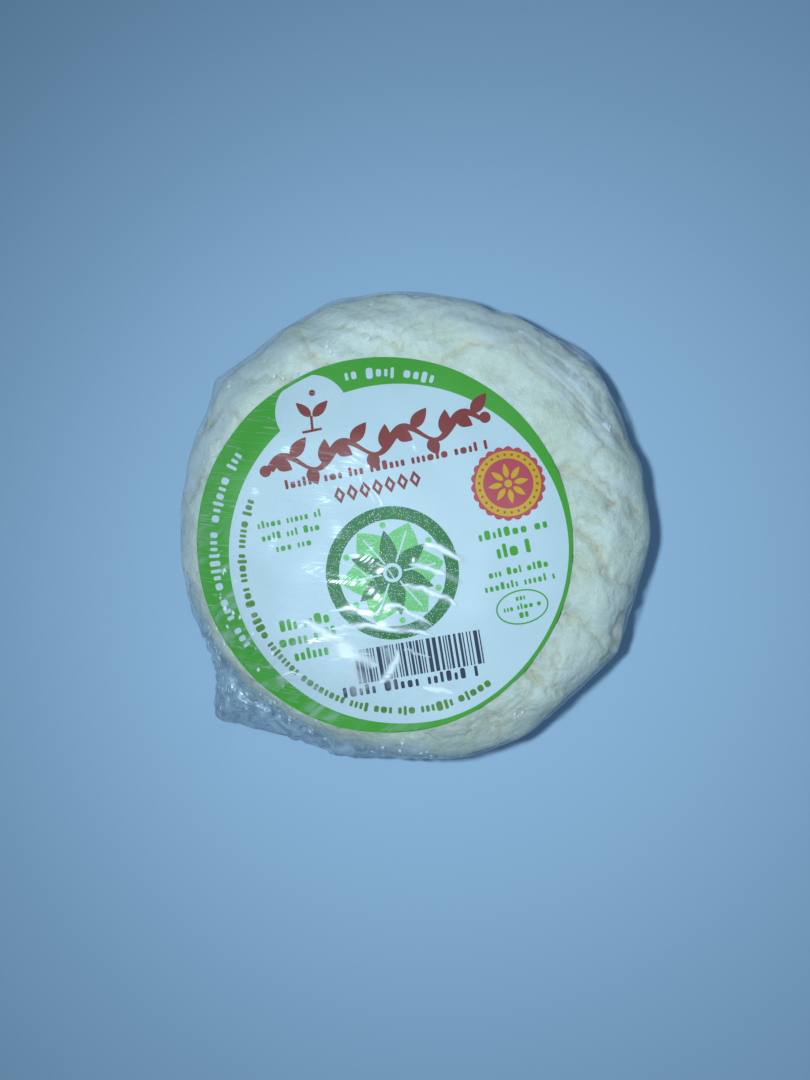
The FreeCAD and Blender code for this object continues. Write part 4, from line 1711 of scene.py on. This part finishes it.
    def build(self) -> bpy.types.Object:
        """Builds and dresses the film."""
        grid, marks = self.shape()
        piece = skin_mesh("clear_film", grid, marks)
        tree = relief_group("film_crumple", {
            "Dent Size": self.dent_size * MM, "Dent Depth": self.dent_depth * MM,
            "Seed": self.seed}, self.crumple)
        piece = with_nodes(piece, tree, FilmFinish().material())
        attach(piece, "root")
        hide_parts("film")
        return piece


# ---------------------------------------------------------------- the studio


@dataclass
class Studio:
    """The light-toned floor, the light and the camera that looks straight down."""

    light: Colour = (0.68, 0.905, 1.0)
    shade: Colour = (0.39, 0.71, 1.05)
    floor_colour: Colour = (0.53, 0.69, 0.88)
    level: float = 0.72
    fill: float = 0.20
    eye: tuple[float, float, float] = (-1.3, -1.8, 126.0)
    lamp: tuple[float, float, float] = (-14.8, 1.0, 126.0)
    lamp_aim: tuple[float, float, float] = (0.577, -0.30, -1.0)
    lamp_radius: float = 3.0
    lens: float = 27.0

    def floor(self) -> None:
        """A large plain floor."""
        half = 3.0
        mesh = bpy.data.meshes.new("floor")
        corners = [(-half, -half, 0), (half, -half, 0), (half, half, 0), (-half, half, 0)]
        mesh.from_pydata(corners, [], [(0, 1, 2, 3)])
        material, graph, place = new_material("floor")
        faint = graph.noise(place, 9.0, 2.0)
        faint = graph.span(faint, 0.3, 0.7, 0.0, 0.06)
        colour = graph.blend(faint, rgba(self.floor_colour), (0.5, 0.6, 0.7, 1))
        surface = graph.add("ShaderNodeBsdfPrincipled", {
            "Base Color": colour, "Roughness": 0.75, "Specular IOR Level": 0.15})
        graph.add("ShaderNodeOutputMaterial", {"Surface": surface.outputs[0]})
        mesh.materials.append(material)
        piece = bpy.data.objects.new("floor", mesh)
        bpy.context.scene.collection.objects.link(piece)

    def lights(self) -> None:
        """One small cool lamp beside the camera and an even cool fill."""
        lamp = bpy.data.lights.new("lamp", "AREA")
        lamp.shape = "DISK"
        lamp.size = 2 * self.lamp_radius * MM
        lamp.color = self.light
        lamp.energy = math.pi ** 2 * self.level * (self.lamp[2] * MM) ** 2
        stand = bpy.data.objects.new("lamp", lamp)
        stand.location = Vector(self.lamp) * MM
        stand.rotation_euler = Vector(self.lamp_aim).to_track_quat("-Z", "Y").to_euler()
        bpy.context.scene.collection.objects.link(stand)
        world = bpy.data.worlds.new("studio")
        world.use_nodes = True
        graph = Graph(world.node_tree)
        back = graph.add("ShaderNodeBackground", {"Color": rgba(self.shade), "Strength": self.fill})
        graph.add("ShaderNodeOutputWorld", {"Surface": back.outputs[0]})
        bpy.context.scene.world = world

    def camera(self) -> None:
        """The camera, straight above."""
        camera = bpy.data.cameras.new("camera")
        camera.lens = self.lens
        camera.sensor_width = 36.0
        camera.clip_start = 0.005
        camera.clip_end = 20.0
        eye = bpy.data.objects.new("camera", camera)
        eye.location = Vector(self.eye) * MM
        bpy.context.scene.collection.objects.link(eye)
        bpy.context.scene.camera = eye
        bpy.context.scene.view_settings.view_transform = "Standard"

    def build(self) -> None:
        """Sets the scene."""
        self.floor()
        self.lights()
        self.camera()


def main() -> None:
    """Builds the studio and the three pieces, and logs each piece's vertex and face counts."""
    logging.basicConfig(level=logging.INFO, format="%(message)s")
    Studio().build()
    groups = Groups()
    inside = []
    for name, maker in (("cheese", Cheese()), ("label", Label(groups)), ("film", Film(inside))):
        piece = maker.build()
        inside.append(piece)
        mesh = piece.data
        log.info("%s: %d vertices, %d faces", name, len(mesh.vertices), len(mesh.polygons))


if __name__ == "__main__":
    main()
